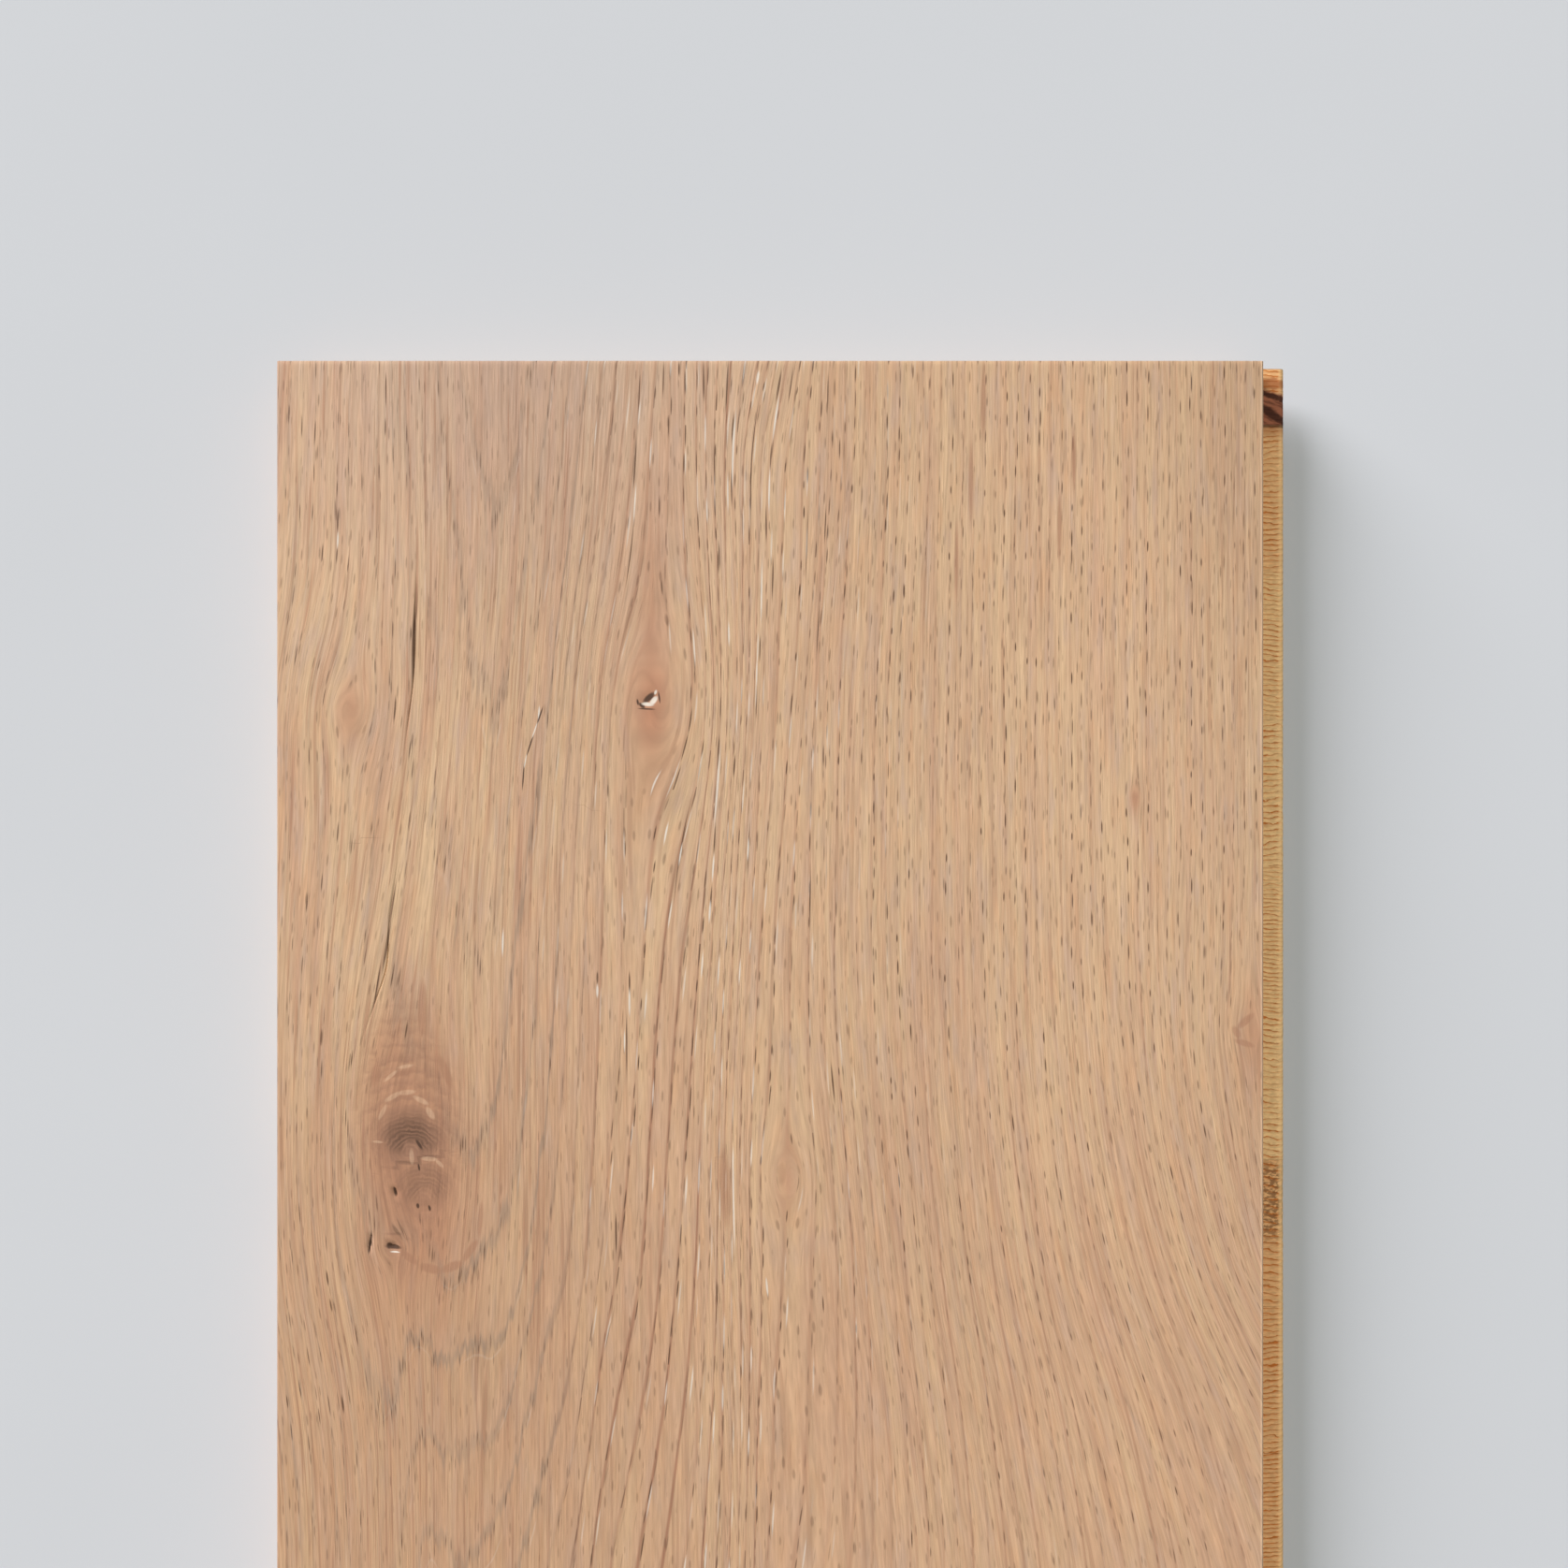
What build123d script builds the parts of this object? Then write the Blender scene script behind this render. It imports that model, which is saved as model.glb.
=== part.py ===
from build123d import *
import os

# A tongue-and-groove floorboard of three glued layers, lying flat with its face up:
# an oak face, a core of softwood slats laid across the board, and a softwood backing.
# Sizes are in millimetres. X runs across the board with the tongue on +X, Y runs along
# it and Z points up. The origin is on the underside, in the middle of the covering
# width and of the length.

# Board
cover_width = 190.0  # from face edge to face edge, the pitch of the laid boards
board_length = 1900.0

# Layers
face_thickness = 3.0
core_thickness = 9.0
backing_thickness = 2.0

# Eased long edges of the face
face_bevel = 0.7
backing_arris = 0.3

# Core slats
slat_width = 28.4
slat_gap = 0.4
first_slat_width = 11.0  # the slat that the end cut goes through, at the +Y end
least_slat_width = 6.0  # no end slat is thinner

# Tongue
tongue_length = 6.0
tongue_thickness = 4.0
tongue_shoulder = 2.0  # core left above the tongue
nose_radius = 1.2
root_radius = 0.4

# Groove, cut to take the same tongue
tongue_play = 0.15  # above and below the tongue
tongue_end_play = 0.5  # past the tongue's nose
mouth_chamfer = 0.6
lower_setback = 0.5  # the lower shoulders stay back, so that the faces close first

# Heights and widths that follow
core_bottom = backing_thickness
core_top = core_bottom + core_thickness
board_thickness = core_top + face_thickness
half_width = cover_width / 2
half_length = board_length / 2
lower_width = cover_width - 2 * lower_setback

tongue_top = core_top - tongue_shoulder
tongue_bottom = tongue_top - tongue_thickness
tongue_middle = (tongue_top + tongue_bottom) / 2
groove_depth = tongue_length + tongue_end_play
groove_height = tongue_thickness + 2 * tongue_play
groove_bottom = tongue_middle - groove_height / 2

# Middle of each gap between two slats, counted from the +Y end
slat_pitch = slat_width + slat_gap
gap_count = 1 + int((board_length - first_slat_width - least_slat_width) / slat_pitch)
first_gap = half_length - first_slat_width - slat_gap / 2
gap_middles = [first_gap - number * slat_pitch for number in range(gap_count)]


# Backing veneer, set back with the lower shoulders
with BuildPart() as backing:
    with BuildSketch(Plane.XY):
        Rectangle(lower_width, board_length)
    extrude(amount=backing_thickness)
    long_edges = backing.faces().sort_by(Axis.Z)[0].edges().filter_by(Axis.Y)
    chamfer(long_edges, backing_arris)


# Core slats: one long section with the tongue and the groove, sawn into slats by the gaps
with BuildPart() as core_slats:
    with BuildSketch(Plane.XZ) as section:
        with Locations((0, core_bottom)):
            Rectangle(cover_width, core_thickness, align=(Align.CENTER, Align.MIN))

        # Lower shoulders, under the tongue and under the groove
        with Locations((half_width, core_bottom)):
            Rectangle(
                lower_setback,
                tongue_bottom - core_bottom,
                align=(Align.MAX, Align.MIN),
                mode=Mode.SUBTRACT,
            )
        with Locations((-half_width, core_bottom)):
            Rectangle(
                lower_setback,
                groove_bottom - core_bottom,
                align=(Align.MIN, Align.MIN),
                mode=Mode.SUBTRACT,
            )

        # Tongue, from behind the set-back shoulder so that it joins the body
        with Locations((half_width - lower_setback, tongue_middle)):
            Rectangle(
                tongue_length + lower_setback,
                tongue_thickness,
                align=(Align.MIN, Align.CENTER),
            )
        tongue_corners = section.vertices().group_by(Axis.X)[-1]
        fillet(tongue_corners, nose_radius)
        root_corner = section.vertices().sort_by_distance((half_width, tongue_top))[0]
        fillet(root_corner, root_radius)

        # Groove
        with Locations((-half_width, tongue_middle)):
            Rectangle(
                groove_depth,
                groove_height,
                align=(Align.MIN, Align.CENTER),
                mode=Mode.SUBTRACT,
            )
        mouth_corners = section.vertices().sort_by_distance((-half_width, tongue_middle))[:2]
        chamfer(mouth_corners, mouth_chamfer)
    extrude(amount=half_length, both=True)

    with Locations([(0, gap_middle, tongue_middle) for gap_middle in gap_middles]):
        Box(2 * cover_width, slat_gap, 2 * core_thickness, mode=Mode.SUBTRACT)


# Oak face, with its long edges eased
with BuildPart() as oak_face:
    with BuildSketch(Plane.XY.offset(core_top)):
        Rectangle(cover_width, board_length)
    extrude(amount=face_thickness)
    long_edges = oak_face.faces().sort_by(Axis.Z)[-1].edges().filter_by(Axis.Y)
    chamfer(long_edges, face_bevel)


oak_face.part.label = "oak_face"
core_slats.part.label = "core_slats"
backing.part.label = "backing"

os.makedirs("parts", exist_ok=True)
for layer in (oak_face, core_slats, backing):
    export_step(layer.part, f"parts/{layer.part.label}.step")
    print(layer.part.label, len(layer.part.solids()), "solids", round(layer.part.volume), "mm3")
print("overall thickness", board_thickness, "mm,", gap_count, "gaps in the core")
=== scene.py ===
"""The engineered oak floorboard, dressed: its brushed oak face, its cross-laid core with
the tongue and the groove, its backing, and the light and the camera that show it.

The classes keep lengths in millimetres, which become metres where a mesh is made.
X runs across the board towards the tongue, Y along it towards the shown end, Z up.
"Across" is the distance from the middle of the face, positive towards the tongue, and
"down" is the distance from the shown end along the board.
"""

import logging
import math
from collections.abc import Callable
from dataclasses import dataclass
from enum import Enum

import bpy
import numpy as np
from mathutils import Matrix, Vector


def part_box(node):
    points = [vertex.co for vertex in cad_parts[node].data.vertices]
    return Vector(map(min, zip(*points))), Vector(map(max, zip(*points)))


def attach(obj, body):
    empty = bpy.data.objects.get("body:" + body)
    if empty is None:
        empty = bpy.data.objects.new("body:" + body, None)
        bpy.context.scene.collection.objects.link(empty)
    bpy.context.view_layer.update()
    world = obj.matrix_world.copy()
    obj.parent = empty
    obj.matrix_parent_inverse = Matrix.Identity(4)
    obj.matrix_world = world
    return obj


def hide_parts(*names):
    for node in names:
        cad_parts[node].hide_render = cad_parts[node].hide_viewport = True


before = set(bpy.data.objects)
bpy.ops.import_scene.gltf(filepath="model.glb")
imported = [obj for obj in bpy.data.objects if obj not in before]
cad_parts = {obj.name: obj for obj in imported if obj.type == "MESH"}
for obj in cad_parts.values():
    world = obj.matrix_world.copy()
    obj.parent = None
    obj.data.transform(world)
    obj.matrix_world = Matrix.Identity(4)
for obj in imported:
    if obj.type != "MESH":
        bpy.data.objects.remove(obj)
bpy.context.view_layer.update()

MM = 0.001
LOG = logging.getLogger("floorboard")

Colour = tuple[float, float, float]


def from_screen(red: float, green: float, blue: float) -> Colour:
    """Turns a colour as a screen shows it into linear light.

    Args:
        red: Red from 0 to 255.
        green: Green from 0 to 255.
        blue: Blue from 0 to 255.

    Returns:
        The same colour in linear light, each part from 0 to 1.
    """
    parts = np.array((red, green, blue)) / 255
    return tuple(float(part) for part in ((parts + 0.055) / 1.055) ** 2.4)


def curve_through(stations: tuple[float, ...], values: tuple[float, ...], at: np.ndarray) -> np.ndarray:
    """Reads a smooth curve through a few points.

    Between two stations it is the cubic that has, at each of them, the slope of the
    chord between its neighbours. Before the first and after the last it stays level.

    Args:
        stations: Places of the points, rising.
        values: The curve's value at each station.
        at: Places to read.

    Returns:
        The curve's value at each place.
    """
    places = np.asarray(stations, float)
    heights = np.asarray(values, float)
    slopes = np.gradient(heights, places)
    at = np.clip(at, places[0], places[-1])
    left = np.clip(np.searchsorted(places, at, side="right") - 1, 0, len(places) - 2)
    gap = places[left + 1] - places[left]
    part = (at - places[left]) / gap
    rest = 1 - part
    return (
        (1 + 2 * part) * rest**2 * heights[left]
        + part * rest**2 * gap * slopes[left]
        + part**2 * (3 - 2 * part) * heights[left + 1]
        - part**2 * rest * gap * slopes[left + 1]
    )


def swell(distance: np.ndarray, half_width: float) -> np.ndarray:
    """Gives a bell: one at no distance, and nearly nothing at twice the half width."""
    return np.exp(-((distance / half_width) ** 2))


def ease(value: np.ndarray, start: float, end: float) -> np.ndarray:
    """Rises smoothly from 0 at start to 1 at end, level at both."""
    part = np.clip((value - start) / (end - start), 0, 1)
    return part * part * (3 - 2 * part)


def soft_noise(across: np.ndarray, down: np.ndarray, seed: int, pitch: float, stretch: float) -> np.ndarray:
    """Adds up seeded sine waves into a smooth, even wobble of about plus or minus one.

    Args:
        across: Places across the board in mm.
        down: Places down the board in mm.
        seed: Chooses the waves.
        pitch: Typical wave length across in mm.
        stretch: How many times longer the waves are down the board.

    Returns:
        The wobble at each place.
    """
    chance = np.random.default_rng(seed)
    total = np.zeros(np.broadcast(across, down).shape)
    waves = 7
    for _ in range(waves):
        turn = chance.uniform(0, 2 * math.pi)
        rate = 2 * math.pi / pitch * chance.uniform(0.5, 1.6)
        lean = chance.uniform(-1, 1) * rate / stretch
        total += np.sin(across * rate * chance.choice((-1, 1)) + down * lean + turn)
    return total / math.sqrt(waves)


def graded_stations(length: float, pitch: Callable[[np.ndarray], np.ndarray]) -> np.ndarray:
    """Places stations along a length, closer together where the wanted pitch is small.

    The running total of one over the pitch counts the stations, so they stand where
    that total is a whole share of its end value.

    Args:
        length: The length in mm, from 0.
        pitch: Gives the wanted pitch in mm at each place.

    Returns:
        The stations, from 0 to the length.
    """
    places = np.linspace(0, length, 30001)
    counted = np.concatenate(([0], np.cumsum(np.diff(places) / pitch(places[:-1]))))
    count = int(round(counted[-1])) + 1
    return np.interp(np.linspace(0, counted[-1], count), counted, places)


class Signal:
    """A value or vector on its way through a node tree, which the usual operators work on."""

    def __init__(self, tree: bpy.types.NodeTree, socket: bpy.types.NodeSocket) -> None:
        """Keeps the tree and the socket that the signal comes out of."""
        self.tree = tree
        self.socket = socket

    def maths(self, operation: str, *operands: "Signal | float") -> "Signal":
        """Passes the signal through a Math node.

        Args:
            operation: Name of the node's operation.
            operands: What the operation needs besides the signal.

        Returns:
            The result.
        """
        node = self.tree.nodes.new("ShaderNodeMath")
        node.operation = operation
        for socket, operand in zip(node.inputs, (self, *operands)):
            plug(self.tree, operand, socket)
        return Signal(self.tree, node.outputs[0])

    def vectors(self, operation: str, *operands: "Signal | Colour") -> "Signal":
        """Passes the signal through a Vector Math node.

        Args:
            operation: Name of the node's operation.
            operands: What the operation needs besides the signal.

        Returns:
            The result, a plain value where the operation gives a length or a dot product.
        """
        node = self.tree.nodes.new("ShaderNodeVectorMath")
        node.operation = operation
        for socket, operand in zip(node.inputs, (self, *operands)):
            plug(self.tree, operand, socket)
        plain = operation in ("LENGTH", "DOT_PRODUCT")
        return Signal(self.tree, node.outputs["Value" if plain else "Vector"])

    def __add__(self, other: "Signal | float") -> "Signal":
        """Adds a value."""
        return self.maths("ADD", other)

    def __sub__(self, other: "Signal | float") -> "Signal":
        """Takes a value away."""
        return self.maths("SUBTRACT", other)

    def __mul__(self, other: "Signal | float") -> "Signal":
        """Multiplies by a value."""
        return self.maths("MULTIPLY", other)

    def __truediv__(self, other: "Signal | float") -> "Signal":
        """Divides by a value."""
        return self.maths("DIVIDE", other)

    def inverse(self) -> "Signal":
        """Gives one minus the value."""
        return self.maths("MULTIPLY_ADD", -1.0, 1.0)

    def ease(self, start: "Signal | float", end: "Signal | float") -> "Signal":
        """Rises smoothly from 0 at start to 1 at end."""
        node = self.tree.nodes.new("ShaderNodeMapRange")
        node.interpolation_type = "SMOOTHSTEP"
        for name, operand in (("Value", self), ("From Min", start), ("From Max", end)):
            plug(self.tree, operand, node.inputs[name])
        return Signal(self.tree, node.outputs[0])


def plug(tree: bpy.types.NodeTree, operand: "Signal | float | Colour", socket: bpy.types.NodeSocket) -> None:
    """Links a signal to a socket, or writes a constant on it.

    Args:
        tree: The tree that holds the socket.
        operand: A signal, a number or a triple.
        socket: The input that takes it.
    """
    if isinstance(operand, Signal):
        tree.links.new(operand.socket, socket)
    elif isinstance(operand, tuple) and len(socket.default_value) == 4:
        socket.default_value = (*operand, 1.0)
    else:
        socket.default_value = operand


class Recipe:
    """Adds nodes to one node tree, so that a finish reads as a list of steps."""

    def __init__(self, tree: bpy.types.NodeTree) -> None:
        """Keeps the tree that the recipe fills."""
        self.tree = tree

    def node(
        self, kind: str, inputs: dict[str, "Signal | float | Colour"], **settings: object
    ) -> bpy.types.Node:
        """Adds one node.

        Args:
            kind: The node's type without its usual beginning.
            inputs: What goes into its named inputs.
            settings: Values of its other properties.

        Returns:
            The new node.
        """
        node = self.tree.nodes.new(f"ShaderNode{kind}")
        for name, value in settings.items():
            setattr(node, name, value)
        for name, operand in inputs.items():
            plug(self.tree, operand, node.inputs[name])
        return node

    def attribute(self, name: str) -> "Signal":
        """Reads a vector that the mesh carries."""
        return Signal(self.tree, self.node("Attribute", {}, attribute_name=name).outputs["Vector"])

    def position(self) -> "Signal":
        """Gives the place on the object in millimetres."""
        place = Signal(self.tree, self.node("TexCoord", {}).outputs["Object"])
        return place.vectors("MULTIPLY", (1 / MM, 1 / MM, 1 / MM))

    def split(self, vector: Signal) -> tuple[Signal, Signal, Signal]:
        """Takes a vector apart."""
        node = self.node("SeparateXYZ", {"Vector": vector})
        return tuple(Signal(self.tree, socket) for socket in node.outputs)

    def combine(self, x: "Signal | float", y: "Signal | float", z: "Signal | float" = 0.0) -> Signal:
        """Makes a vector of three values."""
        return Signal(self.tree, self.node("CombineXYZ", {"X": x, "Y": y, "Z": z}).outputs[0])

    def noise(self, vector: Signal, detail: float = 2.0, roughness: float = 0.55) -> Signal:
        """Reads smooth noise of about one unit at a place."""
        inputs = {"Vector": vector, "Scale": 1.0, "Detail": detail, "Roughness": roughness}
        return Signal(self.tree, self.node("TexNoise", inputs).outputs[0])

    def chances(self, vector: Signal) -> tuple[Signal, Signal, Signal]:
        """Gives three even random numbers for each place."""
        node = self.node("TexWhiteNoise", {"Vector": vector})
        return self.split(Signal(self.tree, node.outputs["Color"]))

    def mix(self, base: "Signal | Colour", colour: "Signal | Colour", mask: Signal) -> Signal:
        """Lays a colour over a base where the mask says."""
        node = self.tree.nodes.new("ShaderNodeMix")
        node.data_type = "RGBA"
        colours = [socket for socket in node.inputs if socket.type == "RGBA"]
        plug(self.tree, mask, node.inputs[0])
        plug(self.tree, base, colours[0])
        plug(self.tree, colour, colours[1])
        return Signal(self.tree, next(socket for socket in node.outputs if socket.type == "RGBA"))

    def coat(self, base: "Signal | Colour", *coats: tuple["Signal | Colour", Signal]) -> Signal:
        """Lays colours over a base one after another, each where its own mask says."""
        for colour, mask in coats:
            base = self.mix(base, colour, mask)
        return base

    def shade(self, colour: Signal, light: Signal) -> Signal:
        """Makes a colour lighter or darker by a factor."""
        return colour.vectors("MULTIPLY", self.combine(light, light, light))

    def use(self, group: bpy.types.NodeTree, **inputs: "Signal | float") -> list[Signal]:
        """Places a shared node group with its own values.

        Args:
            group: The group.
            inputs: Its inputs by name, with an underscore for each space.

        Returns:
            Its outputs, in order.
        """
        node = self.tree.nodes.new("ShaderNodeGroup")
        node.node_tree = group
        for name, operand in inputs.items():
            plug(self.tree, operand, node.inputs[name.replace("_", " ")])
        return [Signal(self.tree, socket) for socket in node.outputs]

    def streaks(self, across: Signal, along: Signal, pitch: float, stretch: float, seed: float) -> Signal:
        """Places the group for fibre streaks.

        Args:
            across: Place across the fibres in mm.
            along: Place along the fibres in mm.
            pitch: Typical width of a streak in mm.
            stretch: How many times longer than wide the streaks are.
            seed: Chooses the pattern.

        Returns:
            The streaks, of about 0 to 1.
        """
        shape = {"Pitch": pitch, "Stretch": stretch, "Seed": seed}
        return self.use(streaks_group(), Across=across, Along=along, **shape)[0]

    def bump(self, height: Signal, distance: float) -> Signal:
        """Turns a height from 0 to 1 into a bent normal, with its full height in metres."""
        bent = self.node("Bump", {"Height": height, "Distance": distance})
        return Signal(self.tree, bent.outputs["Normal"])


def shared_group(
    name: str,
    inputs: dict[str, float],
    outputs: tuple[str, ...],
    fill: Callable[[Recipe, dict[str, Signal]], tuple[Signal, ...]],
) -> bpy.types.NodeTree:
    """Builds a node group once, and gives the same one whenever it is asked for again.

    Args:
        name: The group's name.
        inputs: The default value of each input.
        outputs: Names of the outputs.
        fill: Adds the group's nodes and gives its results.

    Returns:
        The group.
    """
    if name in bpy.data.node_groups:
        return bpy.data.node_groups[name]
    tree = bpy.data.node_groups.new(name, "ShaderNodeTree")
    for title, value in inputs.items():
        socket = tree.interface.new_socket(title, in_out="INPUT", socket_type="NodeSocketFloat")
        socket.default_value = value
    for title in outputs:
        tree.interface.new_socket(title, in_out="OUTPUT", socket_type="NodeSocketFloat")
    entry = tree.nodes.new("NodeGroupInput")
    leaving = tree.nodes.new("NodeGroupOutput")
    given = {title: Signal(tree, entry.outputs[title]) for title in inputs}
    for title, result in zip(outputs, fill(Recipe(tree), given)):
        tree.links.new(result.socket, leaving.inputs[title])
    return tree


def streaks_group() -> bpy.types.NodeTree:
    """Gives the group for fibre streaks: noise drawn out along the grain."""

    def fill(recipe: Recipe, given: dict[str, Signal]) -> tuple[Signal, ...]:
        """Reads noise at across / pitch and along / (pitch x stretch)."""
        wide = given["Across"] / given["Pitch"]
        long = given["Along"] / (given["Pitch"] * given["Stretch"])
        return (recipe.noise(recipe.combine(wide, long, given["Seed"]), roughness=0.6),)

    inputs = {"Across": 0.0, "Along": 0.0, "Pitch": 1.0, "Stretch": 20.0, "Seed": 0.0}
    return shared_group("Fibre streaks", inputs, ("Streak",), fill)


def rings_group() -> bpy.types.NodeTree:
    """Gives the group for growth rings: the porous start and the dense end of each year."""

    def fill(recipe: Recipe, given: dict[str, Signal]) -> tuple[Signal, ...]:
        """Reads the fraction of the ring count.

        Early wood fades after 0, late wood rises towards 1, and the edge is a thin line
        at every whole count.
        """
        phase = given["Ring"].maths("FRACT")
        early = phase.ease(0.10, 0.42).inverse()
        late = phase.ease(0.50, 0.96)
        edge = (phase - 0.5).maths("ABSOLUTE").ease(0.38, 0.48)
        return early, late, edge

    return shared_group("Growth rings", {"Ring": 0.0}, ("Early", "Late", "Edge"), fill)


def dashes_group() -> bpy.types.NodeTree:
    """Gives the group for pores that show as dashes in rows, one row to each ring."""

    def fill(recipe: Recipe, given: dict[str, Signal]) -> tuple[Signal, ...]:
        """Cuts each row into cells and draws in each a slim ellipse.

        A row is the whole part of the ring count and a cell the whole part of along /
        spacing, shifted by a random share for each row. Three random numbers for each
        cell move its dash sideways and endways and set its size, and its darkness.
        """
        row = given["Row"].maths("FLOOR")
        start, _, _ = recipe.chances(recipe.combine(row, given["Seed"]))
        cells = given["Along"] / given["Spacing"] + start * 7.0
        cell = cells.maths("FLOOR")
        sideways, endways, size = recipe.chances(recipe.combine(row, cell, given["Seed"]))
        length = given["Length"] * (size * 0.95 + 0.35)
        along = (cells.maths("FRACT") - 0.5 - (endways - 0.5) * 0.5) / length
        across = given["Row"].maths("FRACT") - 0.5 - (sideways - 0.5) * given["Scatter"]
        reach = (along * along + (across / given["Width"]).maths("POWER", 2.0)).maths("SQRT")
        kept = size.ease(given["Left out"], given["Left out"] + 0.05)
        dark = (size * 7.3 + sideways).maths("FRACT") * 0.75 + 0.25
        return (reach.ease(0.45, 1.2).inverse() * kept * dark,)

    inputs = {
        "Row": 0.0,
        "Along": 0.0,
        "Spacing": 5.0,
        "Length": 0.3,
        "Width": 0.06,
        "Scatter": 0.3,
        "Left out": 0.0,
        "Seed": 0.0,
    }
    return shared_group("Pore dashes", inputs, ("Dash",), fill)


def flecks_group() -> bpy.types.NodeTree:
    """Gives the group for pores that lie scattered: slim ellipses along the fibres."""

    def fill(recipe: Recipe, given: dict[str, Signal]) -> tuple[Signal, ...]:
        """Measures the distance to scattered points in a plane squeezed along the grain.

        Each point has a random number, which sets its size and its darkness.
        """
        wide = given["Across"] / given["Pitch"] + given["Seed"]
        place = recipe.combine(wide, given["Along"] / given["Length"])
        node = recipe.node("TexVoronoi", {"Vector": place, "Scale": 1.0}, voronoi_dimensions="2D")
        chance, _, _ = recipe.split(Signal(recipe.tree, node.outputs["Color"]))
        reach = Signal(recipe.tree, node.outputs["Distance"]) / (chance * 0.8 + 0.5)
        return (reach.ease(given["Size"] * 0.4, given["Size"]).inverse() * (chance * 0.7 + 0.3),)

    inputs = {"Across": 0.0, "Along": 0.0, "Pitch": 0.6, "Length": 6.0, "Size": 0.3, "Seed": 0.0}
    return shared_group("Pore flecks", inputs, ("Fleck",), fill)


class Finish:
    """A material in the making: its Principled shader and the recipe that feeds it."""

    def __init__(self, name: str, roughness: float, specular: float) -> None:
        """Makes an empty material.

        Args:
            name: The material's name.
            roughness: The shader's roughness where nothing drives it.
            specular: Strength of the mirror-like reflection.
        """
        self.material = bpy.data.materials.new(name)
        self.material.use_nodes = True
        tree = self.material.node_tree
        self.shader = next(node for node in tree.nodes if node.type == "BSDF_PRINCIPLED")
        self.shader.inputs["Roughness"].default_value = roughness
        self.shader.inputs["Specular IOR Level"].default_value = specular
        self.recipe = Recipe(tree)

    def drive(self, **signals: Signal) -> bpy.types.Material:
        """Links signals to the shader's inputs and gives the finished material.

        Args:
            signals: One signal for each input, named with underscores for spaces.

        Returns:
            The material.
        """
        for name, signal in signals.items():
            plug(self.recipe.tree, signal, self.shader.inputs[name.replace("_", " ")])
        return self.material


def lay_mesh(
    name: str,
    points: np.ndarray,
    faces: list[list[int]],
    marks: dict[str, np.ndarray],
    materials: list[bpy.types.Material],
    material_of: np.ndarray,
    smooth_under: float,
) -> bpy.types.Object:
    """Makes a mesh object of finished arrays.

    Args:
        name: The piece's name.
        points: Corner places in mm, one row each.
        faces: The corners of each face, turning left as seen from outside.
        marks: Vectors that the mesh carries for its material, one row for each corner.
        materials: The piece's materials.
        material_of: Which material each face has.
        smooth_under: Edges that turn less than this many degrees are shaded smooth.

    Returns:
        The object, at the origin.
    """
    mesh = bpy.data.meshes.new(name)
    mesh.from_pydata(points * MM, [], faces)
    for title, values in marks.items():
        mark = mesh.attributes.new(title, "FLOAT_VECTOR", "POINT")
        mark.data.foreach_set("vector", np.ascontiguousarray(values, dtype=np.float32).ravel())
    for material in materials:
        mesh.materials.append(material)
    mesh.polygons.foreach_set("material_index", material_of.astype(np.int32))
    mesh.polygons.foreach_set("use_smooth", np.ones(len(faces), dtype=bool))
    mesh.set_sharp_from_angle(angle=math.radians(smooth_under))
    mesh.update()
    piece = bpy.data.objects.new(name, mesh)
    bpy.context.scene.collection.objects.link(piece)
    return piece


def strip_faces(rows: int, ring: int) -> np.ndarray:
    """Lists the four-cornered faces of a closed ring of points carried along rows.

    Args:
        rows: How many rows there are.
        ring: How many points are in each row.

    Returns:
        The corners of each face, between each row and the next, all round the ring.
    """
    row, place = np.meshgrid(np.arange(rows - 1), np.arange(ring), indexing="ij")
    here = (row * ring + place).ravel()
    beside = (row * ring + (place + 1) % ring).ravel()
    return np.stack((here, here + ring, beside + ring, beside), axis=1)


class Pigment(Enum):
    """What a long pore, a line or a short mark shows."""

    DARK = "dust and bare pore"
    # Also the painted glints at two of the holes, drawn in the pigment's pale colour
    PALE_AND_GLINT = "pale pigment"
    RED = "reddish late wood"
    CURL = "pale curled fibres"


@dataclass(frozen=True)
class Stroke:
    """One long pore or line that runs with the grain.

    Its place across is given in the middle of its length.
    """

    across: float
    start: float
    end: float
    half_width: float
    pigment: Pigment


@dataclass(frozen=True)
class Mark:
    """One short mark that lies its own way, such as the rim of a hole or a curl of fibres."""

    across: float
    down: float
    half_length: float
    half_width: float
    turn: float  # of its length, in degrees from across towards down
    pigment: Pigment


def strokes_of(pigment: Pigment, *rows: tuple[float, ...]) -> tuple[Stroke, ...]:
    """Gives strokes of one pigment, from rows of across, start, end and half width."""
    return tuple(Stroke(*row, pigment) for row in rows)


def marks_of(pigment: Pigment, *rows: tuple[float, ...]) -> tuple[Mark, ...]:
    """Gives marks of one pigment, from rows of across, down, half sizes and turn."""
    return tuple(Mark(*row, pigment) for row in rows)


@dataclass(frozen=True)
class Knot:
    """One knot: a round eye that the fibres run round, with stained wood about it."""

    across: float
    down: float
    half_width: float
    half_length: float
    pull: float  # radius of the round stone that would turn the fibres as much
    stretch: float  # how many times longer than wide the turned fibres are
    brown: float  # how brown and dark the eye is
    stain: float  # strength of the reddish stain about it
    tail_up: float  # length of the stain towards the shown end
    tail_down: float  # and away from it


@dataclass(frozen=True)
class Pit:
    """One small hole, a half ellipsoid sunk in the face."""

    across: float
    down: float
    half_width: float
    half_length: float
    depth: float
    turn: float = 0.0  # of its long axis, in degrees


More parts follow.
